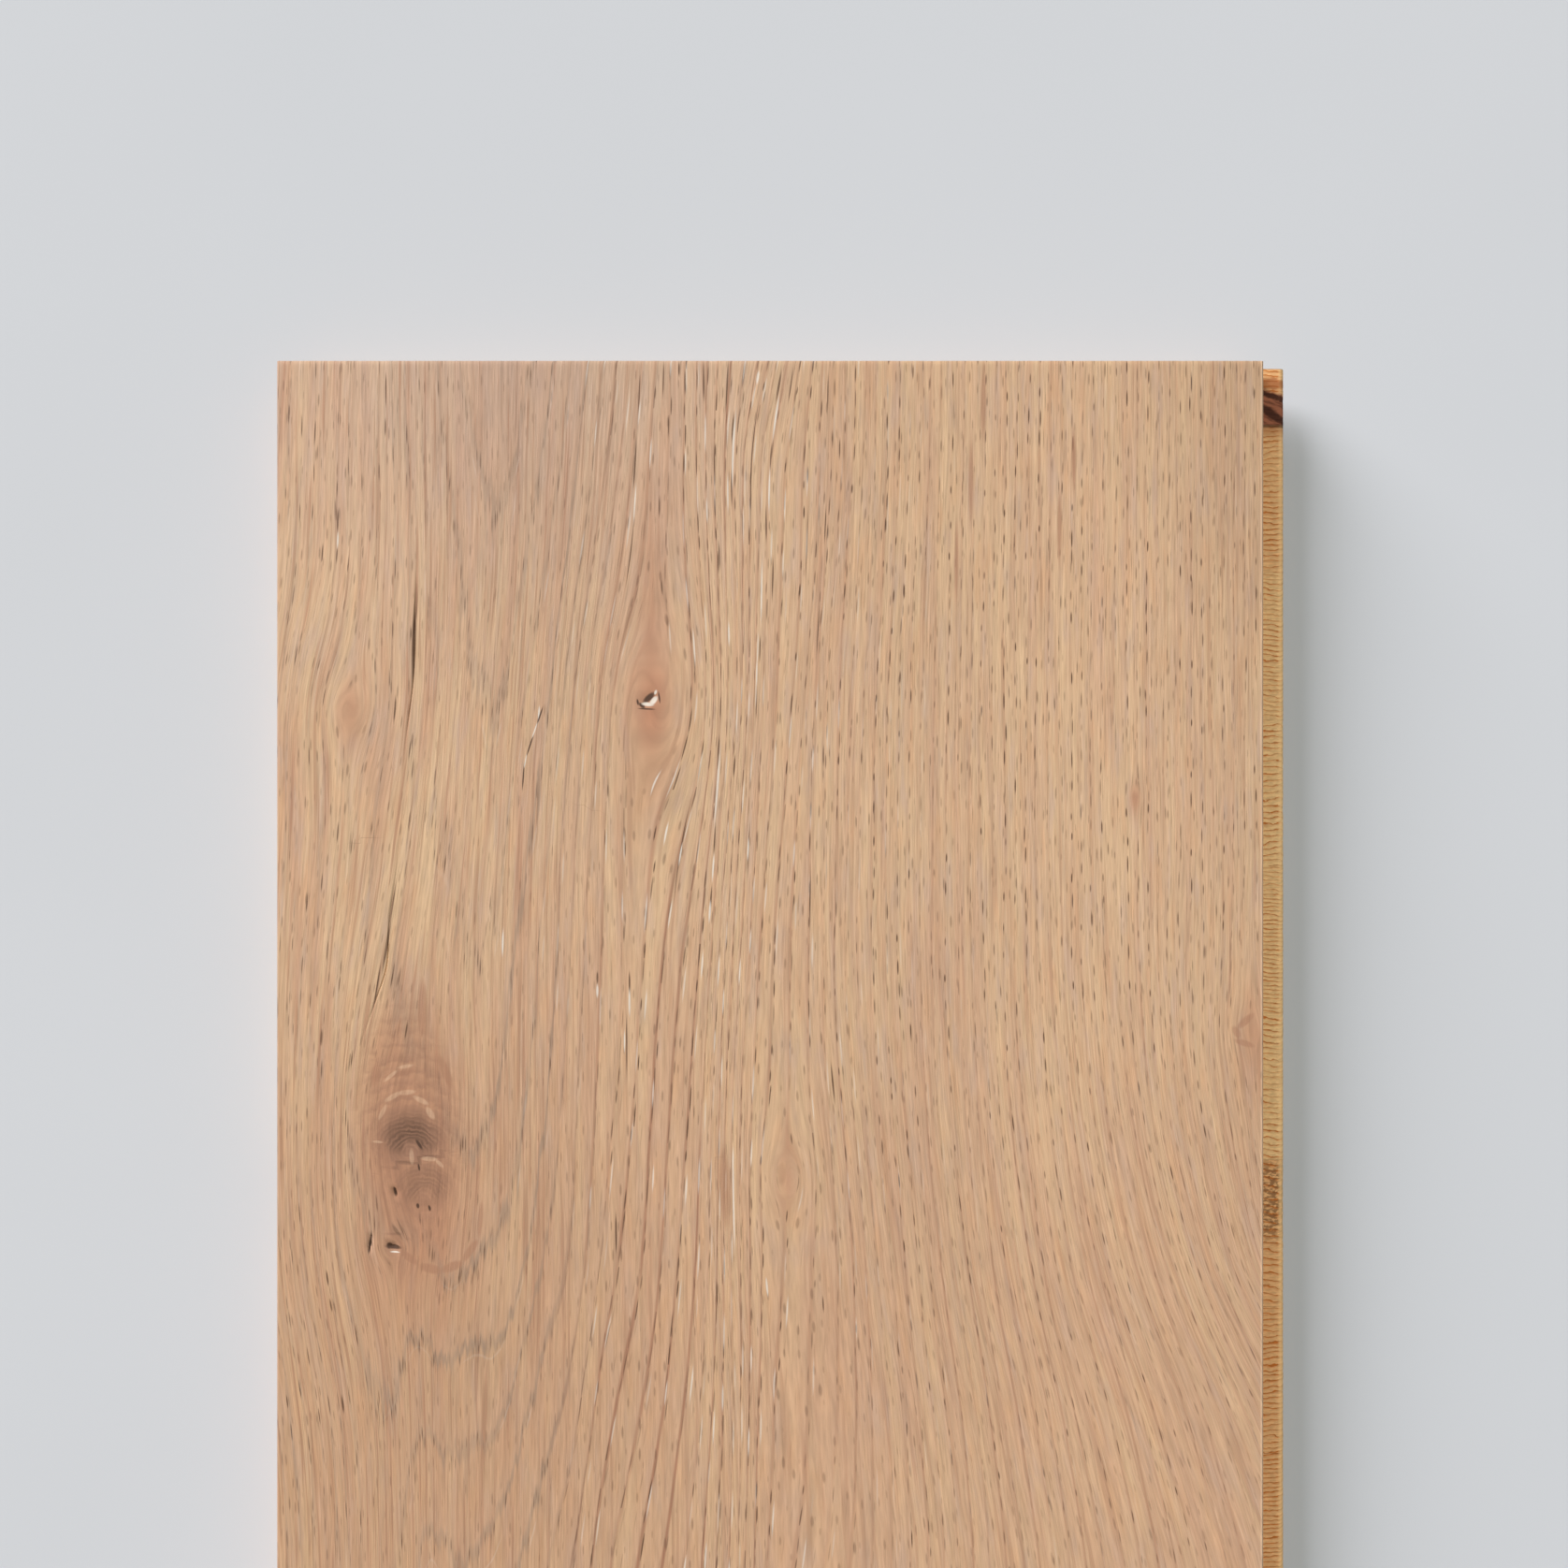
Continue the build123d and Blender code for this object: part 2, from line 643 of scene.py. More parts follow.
# The first eight lie in the shown length, and the others further down the board
KNOTS = (
    Knot(-22.9, 65.4, 2.2, 1.7, 7.8, 2.5, 0.0, 1.0, 44, 28),
    Knot(-69.2, 149.2, 6.2, 5.2, 9.6, 2.2, 1.0, 1.0, 26, 17),
    Knot(-66.6, 158.4, 5.4, 5.6, 0.6, 1.0, 0.42, 0.9, 6, 12),
    Knot(-80.7, 67.0, 2.0, 2.3, 3.6, 1.6, 0.05, 0.6, 4, 7),
    Knot(-72.8, 170.5, 1.9, 1.5, 2.6, 1.3, 0.25, 0.6, 3, 4),
    Knot(93.0, 128.8, 3.0, 2.6, 3.4, 1.5, 0.0, 0.55, 3, 3),
    Knot(3.2, 157.0, 1.4, 1.8, 2.4, 2.0, 0.0, 0.55, 12, 4),
    Knot(70.2, 83.8, 0.8, 1.0, 0.8, 2.0, 0.10, 0.8, 1.5, 1.5),
    Knot(38.0, 520.0, 3.0, 4.0, 6.0, 2.4, 0.6, 0.8, 14, 12),
    Knot(-40.0, 765.0, 5.5, 7.5, 9.0, 2.3, 1.0, 0.9, 16, 18),
    Knot(60.0, 985.0, 2.6, 3.0, 5.2, 2.4, 0.4, 0.8, 10, 10),
    Knot(-14.0, 1210.0, 4.0, 5.2, 7.4, 2.4, 0.8, 0.9, 18, 14),
    Knot(22.0, 1482.0, 5.2, 7.0, 8.6, 2.4, 0.9, 0.9, 16, 18),
    Knot(-66.0, 1702.0, 3.0, 4.0, 6.2, 2.3, 0.6, 0.8, 12, 10),
)

# Rims and splinters of the holes, painted glints at two of the holes, curled fibres at the big knot, and
# reddish arcs
MARKS = (
    *marks_of(
        Pigment.DARK,
        (-23.35, 64.85, 1.45, 0.58, -42), (-24.7, 66.35, 0.75, 0.36, 40), (-25.5, 65.7, 0.6, 0.20, 80),
        (-23.8, 67.0, 1.6, 0.16, 3), (-21.35, 64.8, 1.1, 0.17, 82), (-72.2, 159.9, 0.9, 0.30, 75),
        (-67.8, 162.6, 0.5, 0.30, 80), (-65.6, 163.1, 0.6, 0.28, 80), (-72.5, 170.55, 1.45, 0.42, 6),
        (-73.3, 170.3, 0.6, 0.6, 0), (-77.0, 169.7, 2.1, 0.24, 98), (-67.6, 150.8, 1.1, 0.30, 55),
        (-67.6, 155.2, 0.7, 0.20, 80), (-44.3, 68.3, 1.8, 0.16, 108), (-46.2, 74.0, 2.2, 0.15, 108),
        (-47.5, 80.0, 2.6, 0.15, 94),
    ),
    *marks_of(
        Pigment.PALE_AND_GLINT,
        # The first four are painted glints: three in the small knot's hole and one below the black hole
        (-23.6, 66.1, 1.15, 0.36, 6), (-22.45, 65.45, 1.05, 0.5, -50), (-22.05, 63.8, 0.45, 0.24, -70),
        (-72.2, 171.5, 0.9, 0.14, 4), (-45.3, 71.1, 1.5, 0.11, 109), (-47.1, 77.0, 1.3, 0.10, 100),
    ),
    *marks_of(
        Pigment.CURL,
        (-65.6, 153.6, 1.5, 0.45, 4), (-63.6, 154.5, 1.0, 0.36, 45), (-69.0, 153.2, 1.5, 0.45, 85),
        (-72.6, 141.6, 1.8, 0.48, -30), (-70.0, 140.8, 1.7, 0.48, -6), (-67.2, 142.3, 1.6, 0.5, 28),
        (-65.4, 144.8, 1.3, 0.6, 58), (-74.6, 144.6, 1.6, 0.42, -62), (-75.6, 150.3, 1.1, 0.24, 5),
        (-73.0, 137.6, 1.6, 0.36, -40), (-70.2, 135.8, 1.5, 0.36, -10),
    ),
    *marks_of(
        Pigment.RED,
        (-66.9, 124.5, 5.4, 0.9, 90), (-75.9, 137.4, 2.2, 0.9, 98), (-62.4, 137.0, 3.4, 0.8, 69),
        (-71.2, 137.2, 3.0, 0.5, -12), (-74.0, 153.1, 3.5, 0.8, 78), (-69.4, 172.6, 1.9, 0.7, 39),
        (-65.3, 174.7, 2.2, 0.9, 14), (-61.2, 174.3, 2.2, 0.9, -22), (-57.7, 171.2, 2.6, 0.7, -55),
        (-55.8, 165.3, 3.6, 0.5, -85), (91.5, 127.0, 2.0, 0.7, -42), (91.2, 131.3, 2.0, 0.6, 18),
        (89.7, 129.2, 1.3, 0.7, 62), (-8.7, 158.9, 7.5, 1.1, 88),
    ),
)


@dataclass(frozen=True)
class GrainFlow:
    """How the fibres run over the face.

    A few traced fibres say how far across each stands at each station. A fibre's label
    is where it meets the shown end, and between two traced ones the label grows evenly.
    Each knot then pushes the fibres aside as a round stone does in a stream.
    """

    stations: tuple[float, ...] = (0, 17, 39, 66, 93, 120, 147, 174, 208, 240, 330, 480)
    fibres: tuple[tuple[float, ...], ...] = (
        (-95, -95.3, -95.7, -98.5, -99.6, -100.3, -100.3, -99.6, -97.1, -96.3, -95, -95),
        (-81, -81.2, -81.6, -84.6, -85.5, -86.3, -86.3, -85.7, -82.7, -82.3, -81, -81),
        (-68, -67.8, -67.9, -69.0, -71.3, -74.0, -75.3, -74.7, -73.3, -73.0, -70, -68),
        (-52, -51.9, -52.2, -54.2, -56.4, -59.3, -61.4, -61.8, -60.7, -60.0, -55, -52),
        (-25, -25.8, -26.9, -28.8, -31.5, -32.8, -33.3, -33.0, -32.4, -32.1, -28, -25),
        (-11, -10.9, -10.4, -9.9, -11.4, -12.3, -12.8, -12.3, -11.2, -10.5, -10, -11),
        (-4.3, -6.8, -7.7, -7.5, -8.1, -8.7, -8.9, -8.3, -7.1, -6.2, -5, -4.3),
        (3.4, 0.1, -1.1, -2.7, -4.0, -4.7, -4.9, -4.2, -2.0, -0.9, 2, 3.4),
        (12, 11.7, 10.4, 8.6, 8.1, 8.4, 10.6, 13.8, 17.8, 20.3, 17, 12),
        (41, 40.8, 40.6, 40.6, 40.8, 41.4, 43.2, 46.9, 55.0, 61.2, 52, 41),
        (68, 68.0, 68.0, 68.1, 68.5, 69.6, 72.8, 79.5, 93.8, 104.5, 86, 68),
        (94, 94.0, 94.1, 94.2, 94.4, 94.6, 95.6, 101.2, 120.5, 136.0, 118, 94),
    )
    softening: float = 3.0  # the labels are averaged over this much to each side
    ring_pitch: float = 2.07
    heart_across: float = -52.0  # label of the fibre over the heart of the tree
    heart_stations: tuple[float, ...] = (
        0, 26, 65, 111, 150, 176, 192, 210, 235, 330, 520, 760, 980, 1200, 1450, 1900,
    )
    heart_depths: tuple[float, ...] = (
        15, 16.6, 18.6, 20.6, 22.7, 24.8, 26.8, 28.9, 31.5, 37, 33, 20, 31, 17, 30, 19,
    )
    steady: float = 0.8  # how much less the rings shift on the heart's far side
    steady_from: float = 5.0  # that far side starts here, counted from the heart
    steady_to: float = 24.0
    sway: float = 2.2  # of the fibres, from sway_from on and in full from sway_to on
    sway_from: float = 240.0
    sway_to: float = 520.0
    wobble: float = 0.13  # of the ring count

    def label(self, across: np.ndarray, down: np.ndarray) -> np.ndarray:
        """Gives the label of the fibre at each place.

        Args:
            across: Places across in mm.
            down: Places down the board in mm.

        Returns:
            The labels in mm.
        """
        places = [curve_through(self.stations, fibre, down) for fibre in self.fibres]
        total = np.zeros(np.broadcast(across, down).shape)
        shifts = (-self.softening, 0.0, self.softening)
        for shift in shifts:
            seen = across + shift
            total += self.fibres[0][0] + np.minimum(seen - places[0], 0)
            total += np.maximum(seen - places[-1], 0)
            for left, right, start, end in zip(self.fibres, self.fibres[1:], places, places[1:]):
                total += np.clip((seen - start) / (end - start), 0, 1) * (right[0] - left[0])
        label = total / len(shifts)
        far = ease(down, self.sway_from, self.sway_to)
        label = label + far * self.sway * soft_noise(across, down, seed=5, pitch=120, stretch=3.0)
        for knot in KNOTS:
            aside = across - knot.across
            past = (down - knot.down) / knot.stretch
            label = label - aside * knot.pull**2 / (aside**2 + past**2 + 1.1 * knot.pull**2)
        return label

    def ring(self, label: np.ndarray, down: np.ndarray, depth: np.ndarray) -> np.ndarray:
        """Counts the growth rings from the heart of the tree to each place.

        The heart lies under the face, and the count is the straight distance to it over
        the ring pitch, with a slow wobble.

        Args:
            label: Fibre labels in mm.
            down: Places down the board in mm.
            depth: Depth below the face in mm.

        Returns:
            The ring count.
        """
        aside = label - self.heart_across
        heart = curve_through(self.heart_stations, self.heart_depths, down)
        far_side = ease(-aside, self.steady_from, self.steady_to)
        heart = heart - self.steady * far_side * (heart - self.heart_depths[0]) - depth
        wobble = self.wobble * soft_noise(label, down, seed=11, pitch=16, stretch=6.0)
        return np.sqrt(aside**2 + heart**2) / self.ring_pitch + wobble


# Pores so long or so clear that they are placed one by one
LONG_PORES = (
    *strokes_of(
        Pigment.DARK,
        (-8.3, 0.3, 10, 0.14), (-5.1, 0.3, 5, 0.18), (-7.2, 10, 16, 0.13), (-7.4, 21, 28, 0.12),
        (1.6, 2, 8, 0.18), (0.1, 16, 21, 0.13), (-0.8, 28, 35, 0.13), (-2.0, 53, 58, 0.12),
        (-2.7, 63, 69, 0.12), (-3.6, 7, 32, 0.10), (3.9, 1.5, 8, 0.12), (-12.8, 0.2, 8, 0.15),
        (-10.7, 16, 24, 0.14), (-25.2, 2.5, 10, 0.12), (-26.0, 15, 25, 0.14), (-26.9, 31, 43, 0.11),
        (-20.6, 0.2, 7, 0.12), (-21.3, 26, 30, 0.13), (-20.9, 42, 45, 0.13), (-17.5, 0.2, 3, 0.13),
        (-9.8, 35, 40, 0.12), (0.5, 38, 46, 0.12), (11.1, 2.5, 10, 0.10), (13.3, 15, 19, 0.12),
        (7.2, 20.5, 23.5, 0.13), (10.6, 28, 35, 0.10), (7.0, 29, 42, 0.10), (9.3, 47, 57, 0.12),
        (-9.9, 72, 77, 0.13), (-10.7, 89, 95, 0.13), (-11.4, 101, 106, 0.13), (-6.9, 76, 80, 0.14),
        (-17.3, 85, 104, 0.11), (-4.2, 89, 99, 0.11), (10.2, 74, 78, 0.12), (7.7, 98, 109, 0.11),
        (-27.0, 117.5, 122, 0.15), (-33.3, 117.5, 120, 0.15), (-27.6, 126, 138, 0.14),
        (-29.6, 164, 172, 0.17), (12.0, 135, 143, 0.15), (-10.3, 177, 182, 0.13), (10.2, 180, 183, 0.13),
        (-86.4, 128.5, 132, 0.16), (-83.2, 28.5, 33, 0.13), (-83.4, 36, 39, 0.13), (-73.9, 2.5, 9, 0.12),
        (-74.0, 11, 14.5, 0.12), (-82.2, 199, 202.5, 0.18), (-85.2, 175, 178, 0.16),
        (-84.5, 180.5, 183, 0.14), (-72.2, 64.5, 69.5, 0.15),
    ),
    *strokes_of(
        Pigment.PALE_AND_GLINT,
        (-7.1, 10, 24, 0.16), (1.0, 7, 15, 0.16), (-0.2, 21, 29, 0.14), (-1.7, 39, 50, 0.13),
        (-2.6, 57.5, 63, 0.14), (-2.4, 2, 4.5, 0.22), (-10.1, 75, 89, 0.14), (-11.0, 95, 100, 0.14),
        (-11.6, 104, 108, 0.14), (-27.0, 121, 126, 0.18), (-33.3, 120, 122.5, 0.18), (-28.0, 129, 133, 0.12),
        (-44.5, 66.5, 69.5, 0.15), (-51.5, 109.5, 114.5, 0.15), (-7.1, 153, 170, 0.14),
        (-0.6, 176.5, 180, 0.16), (-83.2, 33, 36, 0.14), (-26.0, 24, 31, 0.11),
        (-17.3, 93, 97, 0.13), (-4.3, 92, 96, 0.13),
        (-22.0, 79, 83.5, 0.15), (-20.2, 89, 93, 0.15),
    ),
    *strokes_of(
        Pigment.RED,
        (41.0, 1, 15, 0.45), (38.6, 15, 31, 0.40), (35.8, 31, 46, 0.35), (58.4, 13, 25, 0.35),
        (55.6, 25, 39, 0.35),
    ),
)


@dataclass(frozen=True)
class Crack:
    """One drying crack that opens and closes as it runs down the board."""

    start_across: float = -67.9
    stations: tuple[float, ...] = (0, 36, 47, 63, 73, 98, 108, 117, 124, 132, 150, 174, 240)
    path: tuple[float, ...] = (
        -67.9, -67.9, -68.3, -68.8, -70.1, -71.9, -73.3, -73.9, -76.2, -78.7, -77.6, -74, -67.9,
    )
    depths: tuple[float, ...] = (0, 0, 0.15, 0.2, 0.05, 0.05, 0.15, 0.25, 0.1, 0, 0, 0, 0)
    half_width: float = 0.22
    reach: float = 25.0  # the mesh bends with the crack over this much to each side

    def bend(self, across: np.ndarray, down: np.ndarray) -> np.ndarray:
        """Says how far the mesh's columns move aside to run along the crack.

        Args:
            across: Places across before they move, in mm.
            down: Places down the board in mm.

        Returns:
            The move in mm: the crack's own move, fading as a raised cosine to each side.
        """
        moved = curve_through(self.stations, self.path, down) - self.start_across
        share = np.clip(np.abs(across - self.start_across) / self.reach, 0, 1)
        return moved * 0.5 * (1 + np.cos(math.pi * share))

    def depth(self, across: np.ndarray, down: np.ndarray) -> np.ndarray:
        """Gives the crack's depth: a V across it, and its depth along it from the stations."""
        deep = np.maximum(curve_through(self.stations, self.depths, down), 0)
        return deep * np.clip(1 - np.abs(across - self.start_across) / self.half_width, 0, 1)


# The crack's dark lips and the reddish wood where it has nearly closed
CRACK_STROKES = (
    *strokes_of(
        Pigment.RED,
        (-68.0, 30, 48, 0.22), (-69.8, 61, 80, 0.28), (-71.6, 74, 102, 0.24), (-77.6, 121, 133, 0.18),
    ),
    *strokes_of(
        Pigment.DARK,
        (-68.2, 42, 51, 0.2), (-68.6, 46, 62.5, 0.36), (-72.7, 100, 110, 0.15), (-73.8, 107, 118, 0.22),
        (-75.6, 116, 124, 0.14),
    ),
)

PITS = (
    Pit(-23.5, 65.3, 2.1, 1.15, 0.2, -20),
    Pit(-72.6, 170.5, 1.4, 0.5, 0.5, 5),
    Pit(-77.0, 169.7, 0.35, 2.0, 0.5, 8),
    Pit(-72.2, 159.9, 0.4, 0.9, 0.6, -15),
    Pit(-67.8, 162.6, 0.4, 0.55, 0.6),
    Pit(-65.6, 163.1, 0.4, 0.6, 0.6),
)


@dataclass(frozen=True)
class OakFinish:
    """Brushed and matt-oiled oak, with pale pigment left in its pores."""

    straw: Colour = from_screen(214, 179, 141)
    rose: Colour = from_screen(202, 162, 132)
    late: Colour = from_screen(168, 122, 95)
    grey: Colour = from_screen(150, 130, 112)
    ash: Colour = from_screen(196, 166, 146)
    stain: Colour = from_screen(186, 130, 100)
    tan: Colour = from_screen(202, 156, 116)
    peach: Colour = from_screen(213, 166, 126)
    stripe: Colour = from_screen(194, 148, 118)
    brown: Colour = from_screen(152, 112, 90)
    deep_brown: Colour = from_screen(80, 56, 42)
    pore: Colour = from_screen(104, 76, 56)
    pigment: Colour = from_screen(230, 220, 206)
    curl: Colour = from_screen(228, 190, 156)
    bruised: Colour = from_screen(186, 138, 107)
    # Pale worn arris on the right, lightened further as a painted highlight
    worn_edge_highlight: Colour = from_screen(246, 208, 172)
    sawn: Colour = from_screen(138, 112, 88)
    roughness: float = 0.62
    brushed_depth: float = 0.00012
    face_top: float = 14.0  # above the underside, in mm
    probe: float = 0.4  # step to each side that tells how close the fibres run, in mm
    slimmest: float = 0.15  # share of its width that a squeezed pore keeps

    def strokes(self, recipe: Recipe, label: Signal, down: Signal, flow: GrainFlow, kind: Pigment) -> Signal:
        """Draws the long pores of one kind.

        Each is an ellipse in the plane of fibre labels, very long and slim, and the
        nearest one decides.

        Args:
            recipe: The recipe to add to.
            label: Fibre label in mm.
            down: Place down the board in mm.
            flow: Gives each pore's own label.
            kind: Which pores to draw.

        Returns:
            A mask, one inside a pore.
        """
        place = recipe.combine(label, down)
        nearest: Signal | None = None
        for stroke in LONG_PORES + CRACK_STROKES:
            if stroke.pigment is not kind:
                continue
            middle = (stroke.start + stroke.end) / 2
            half_length = (stroke.end - stroke.start) / 2
            sides = stroke.across + self.probe * np.array((-1.0, 0.0, 1.0))
            before, here, after = flow.label(sides, np.full(3, middle))
            half_width = 1.2 * stroke.half_width * max(self.slimmest, (after - before) / (2 * self.probe))
            scale = (1 / half_width, 1 / half_length, 0.0)
            offset = (-here / half_width, -middle / half_length, 0.0)
            reach = place.vectors("MULTIPLY_ADD", scale, offset).vectors("LENGTH")
            nearest = reach if nearest is None else nearest.maths("MINIMUM", reach)
        return nearest.ease(0.5, 1.35).inverse()

    def marks(self, recipe: Recipe, across: Signal, down: Signal, kind: Pigment) -> Signal:
        """Draws the short marks of one kind.

        Each is an ellipse in the plane of the face. A dot product with its long
        direction over its half length, and one with its short direction over its half
        width, place a point in it.

        Args:
            recipe: The recipe to add to.
            across: Place across the board in mm.
            down: Place down the board in mm.
            kind: Which marks to draw.

        Returns:
            A mask, one inside a mark.
        """
        place = recipe.combine(across, down, 1.0)  # the 1 takes up each ellipse's offset
        nearest: Signal | None = None
        for mark in MARKS:
            if mark.pigment is not kind:
                continue
            turn = math.radians(mark.turn)
            reaches = []
            for x, y, half in (
                (math.cos(turn), math.sin(turn), mark.half_length),
                (-math.sin(turn), math.cos(turn), mark.half_width),
            ):
                offset = -(mark.across * x + mark.down * y) / half
                reaches.append(place.vectors("DOT_PRODUCT", (x / half, y / half, offset)))
            along, beside = reaches
            reach = (along * along).maths("ADD", beside * beside)
            nearest = reach if nearest is None else nearest.maths("MINIMUM", reach)
        return nearest.ease(0.3, 1.6).inverse()

    def eye(self, recipe: Recipe, colour: Signal, place: Signal, bruise: Signal) -> Signal:
        """Draws the brown wood inside a knot.

        Fine uneven rings arch over the foot of the knot, and coarser bands of the same
        arches run on into the stain. The knot is darkest in a cap over its middle, and a
        paler stem comes up into the cap from below.

        Args:
            recipe: The recipe to add to.
            colour: The wood's colour so far.
            place: Place in the nearest knot over its half sizes, and how brown it is.
            bruise: The brown stain round the knots.

        Returns:
            The colour with the knot's eye.
        """
        aside, past, brown = recipe.split(place)
        swirl = recipe.noise(place.vectors("MULTIPLY", (2.4, 2.4, 0.0)), detail=3.0) - 0.5
        reach = recipe.combine(aside, past - 0.1).vectors("LENGTH") + swirl * 0.5
        foot = 0.58  # below the knot's middle, over its half length
        arcs = recipe.combine(aside, past - foot).vectors("LENGTH")
        rings = (arcs * 42.0 + swirl * 16.0).maths("SINE") * (swirl * 1.6 + 0.34) + 0.5
        bands = (arcs * 13.0 + swirl * 12.0).maths("SINE") * 0.5 + 0.5
        outside = bruise * bands * (swirl * 2.4 + 0.6)
        colour = recipe.mix(colour, self.brown, outside * 0.6)
        inside = reach.ease(0.6, 1.5).inverse() * brown
        colour = recipe.mix(colour, self.brown, inside * (rings * 0.4 + 0.5))
        stem = (aside - 0.03).maths("ABSOLUTE").ease(0.12, 0.34).inverse() * past.ease(0.1, 0.35)
        cap = reach.ease(0.3, 1.2).inverse() * brown * past.ease(0.35, 0.95).inverse()
        return recipe.mix(colour, self.deep_brown, cap * (stem * -0.8 + 1.0) * (rings * 0.4 + 0.34))

    def face(self, flow: GrainFlow, half_width: float) -> bpy.types.Material:
        """Makes the material of the face and the long sides.

        It lays one over the other the wood's tones and stains, the lines of the growth
        rings, the knots' eyes, the dark pores, the pale pigment, the red lines, the
        short marks with painted glints at two of the holes, and the worn right edge,
        lightened further as a painted highlight. Then it darkens the left bevel as
        painted shade.

        Args:
            flow: The face's grain.
            half_width: Half the width of the face in mm.

        Returns:
            The material.
        """
        finish = Finish("oak_brushed_oiled", self.roughness, 0.25)
        recipe = finish.recipe
        fibre, down, year = recipe.split(recipe.attribute("flow"))
        blush, warmth, contrast = recipe.split(recipe.attribute("stain"))
        pigment_share, dark_share, scattered = recipe.split(recipe.attribute("pores"))
        calm, shine, ashen = recipe.split(recipe.attribute("tone"))
        squeeze, bruise, tanned = recipe.split(recipe.attribute("spread"))
        across, _, _ = recipe.split(recipe.position())

        wander = recipe.noise(recipe.combine(fibre / 5.0, down / 34.0)) - 0.5
        label = fibre + wander * 0.5
        broad = recipe.streaks(label, down, pitch=2.6, stretch=20.0, seed=1.3)
        patch = recipe.streaks(label, down, pitch=2.0, stretch=8.0, seed=23.0)
        middle = recipe.streaks(label, down, pitch=0.8, stretch=30.0, seed=4.7)
        hairs = recipe.streaks(label, down, pitch=0.6, stretch=60.0, seed=14.6)
        fine = recipe.streaks(label, down, pitch=0.34, stretch=20.0, seed=8.1)
        year = year + wander * 0.22
        early, late, edge = recipe.use(rings_group(), Ring=year + (middle - 0.5) * scattered * 0.6)

        hair = hairs.ease(0.53, 0.68) * (fine * 1.1 + 0.1)
        colour = recipe.coat(
            self.straw,
            (self.rose, (broad + warmth).ease(0.16, 0.9)),
            (self.stripe, broad.ease(0.44, 0.68) * (scattered * 0.4 + 0.1)),
            (self.ash, patch.ease(0.50, 0.72) * 0.5),
            (self.peach, patch.ease(0.28, 0.50).inverse() * 0.5),
            (self.ash, ashen),
            (self.tan, tanned),
            (self.rose, late * contrast * 0.7),
            (self.stain, blush * (middle * 0.6 + 0.6)),
            (self.bruised, bruise * (middle * 0.5 + 0.55)),
            (self.late, hair * (scattered * 0.35 + 0.5)),
        )
        line_colour = recipe.mix(self.late, self.grey, scattered)
        strong, _, _ = recipe.chances(recipe.combine((year + 0.5).maths("FLOOR"), 6.0))
        uneven = (broad.ease(0.32, 0.62) * 0.6 + 0.4) * (fine * 1.2 + 0.4) * (strong * 0.9 + 0.3)
        line = edge * contrast * uneven
        colour = recipe.mix(colour, line_colour, line * calm * (blush * -0.6 + 1.0))
        colour = recipe.shade(colour, (middle * 0.34 + fine * 0.52 + 0.57) * shine)
        colour = self.eye(recipe, colour, recipe.attribute("eye"), bruise)

        short = fibre.ease(-40.0, 25.0)
        rows, = recipe.use(
            dashes_group(), Row=year + 0.45, Along=down, Spacing=5.4, Length=short * -0.28 + 0.56,
            Width=squeeze * 0.074, Scatter=0.18, Left_out=0.1, Seed=3.0
        )
        between, = recipe.use(
            dashes_group(), Row=year * 2.0 + 0.1, Along=down, Spacing=7.0, Length=0.30,
            Width=squeeze * 0.09, Scatter=0.8, Left_out=0.5, Seed=9.0
        )
        filled, = recipe.use(
            dashes_group(), Row=year + 0.36, Along=down, Spacing=13.0, Length=0.24,
            Width=squeeze * 0.085, Scatter=0.35, Left_out=0.4, Seed=21.0
        )
        crowded, = recipe.use(
            flecks_group(), Across=label, Along=down, Pitch=0.5, Length=7.0, Size=0.29, Seed=2.5
        )
        loose, = recipe.use(
            flecks_group(), Across=label, Along=down, Pitch=1.1, Length=9.0, Size=0.14, Seed=7.5
        )
        full, _, _ = recipe.chances(recipe.combine((year + 0.45).maths("FLOOR"), 8.0))
        in_rows = (rows * (full * 0.9 + 0.45) + between * 0.4) * scattered.inverse()
        open_pores = in_rows + crowded * scattered * (edge * 0.8 + early * 0.3)
        along_grain = (Pigment.DARK, Pigment.PALE_AND_GLINT, Pigment.RED)
        lines = {kind: self.strokes(recipe, label, down, flow, kind) for kind in along_grain}
        marks = {kind: self.marks(recipe, across, down, kind) for kind in Pigment}
        dark = (open_pores + loose * 0.5) * dark_share * calm
        pale = filled * pigment_share * calm
        reddish = lines[Pigment.RED].maths("MAXIMUM", marks[Pigment.RED] * (fine * 1.3 + 0.25))
        # The right arris and side: worn paler, and lightened further as a painted highlight
        worn = across.ease(half_width - 0.8, half_width - 0.4)
        colour = recipe.coat(
            colour,
            (self.pore, dark.maths("MAXIMUM", lines[Pigment.DARK] * (fine * 1.1 + 0.35))),
            (self.pigment, pale.maths("MAXIMUM", lines[Pigment.PALE_AND_GLINT]) * (fine * 0.6 + 0.5)),
            (self.late, reddish * 0.65),
            (self.curl, marks[Pigment.CURL] * (fine * 0.7)),
            (self.deep_brown, marks[Pigment.DARK] * 0.95),
            # The pale marks, most of them painted glints at two of the holes
            (self.pigment, marks[Pigment.PALE_AND_GLINT] * 0.88),
            (self.worn_edge_highlight, worn * (fine * 0.8 + 0.1)),
        )
        # Painted shade: the left bevel, which faces the key lamp, is darkened by up to 22 per cent
        left_bevel_shade = (across * -1.0).ease(half_width - 0.5, half_width - 0.3)
        colour = recipe.shade(colour, left_bevel_shade * -0.22 + 1.0)

        normal = recipe.bump(fine * 0.5 + middle * 0.5, self.brushed_depth)
        return finish.drive(Base_Color=colour, Normal=normal)

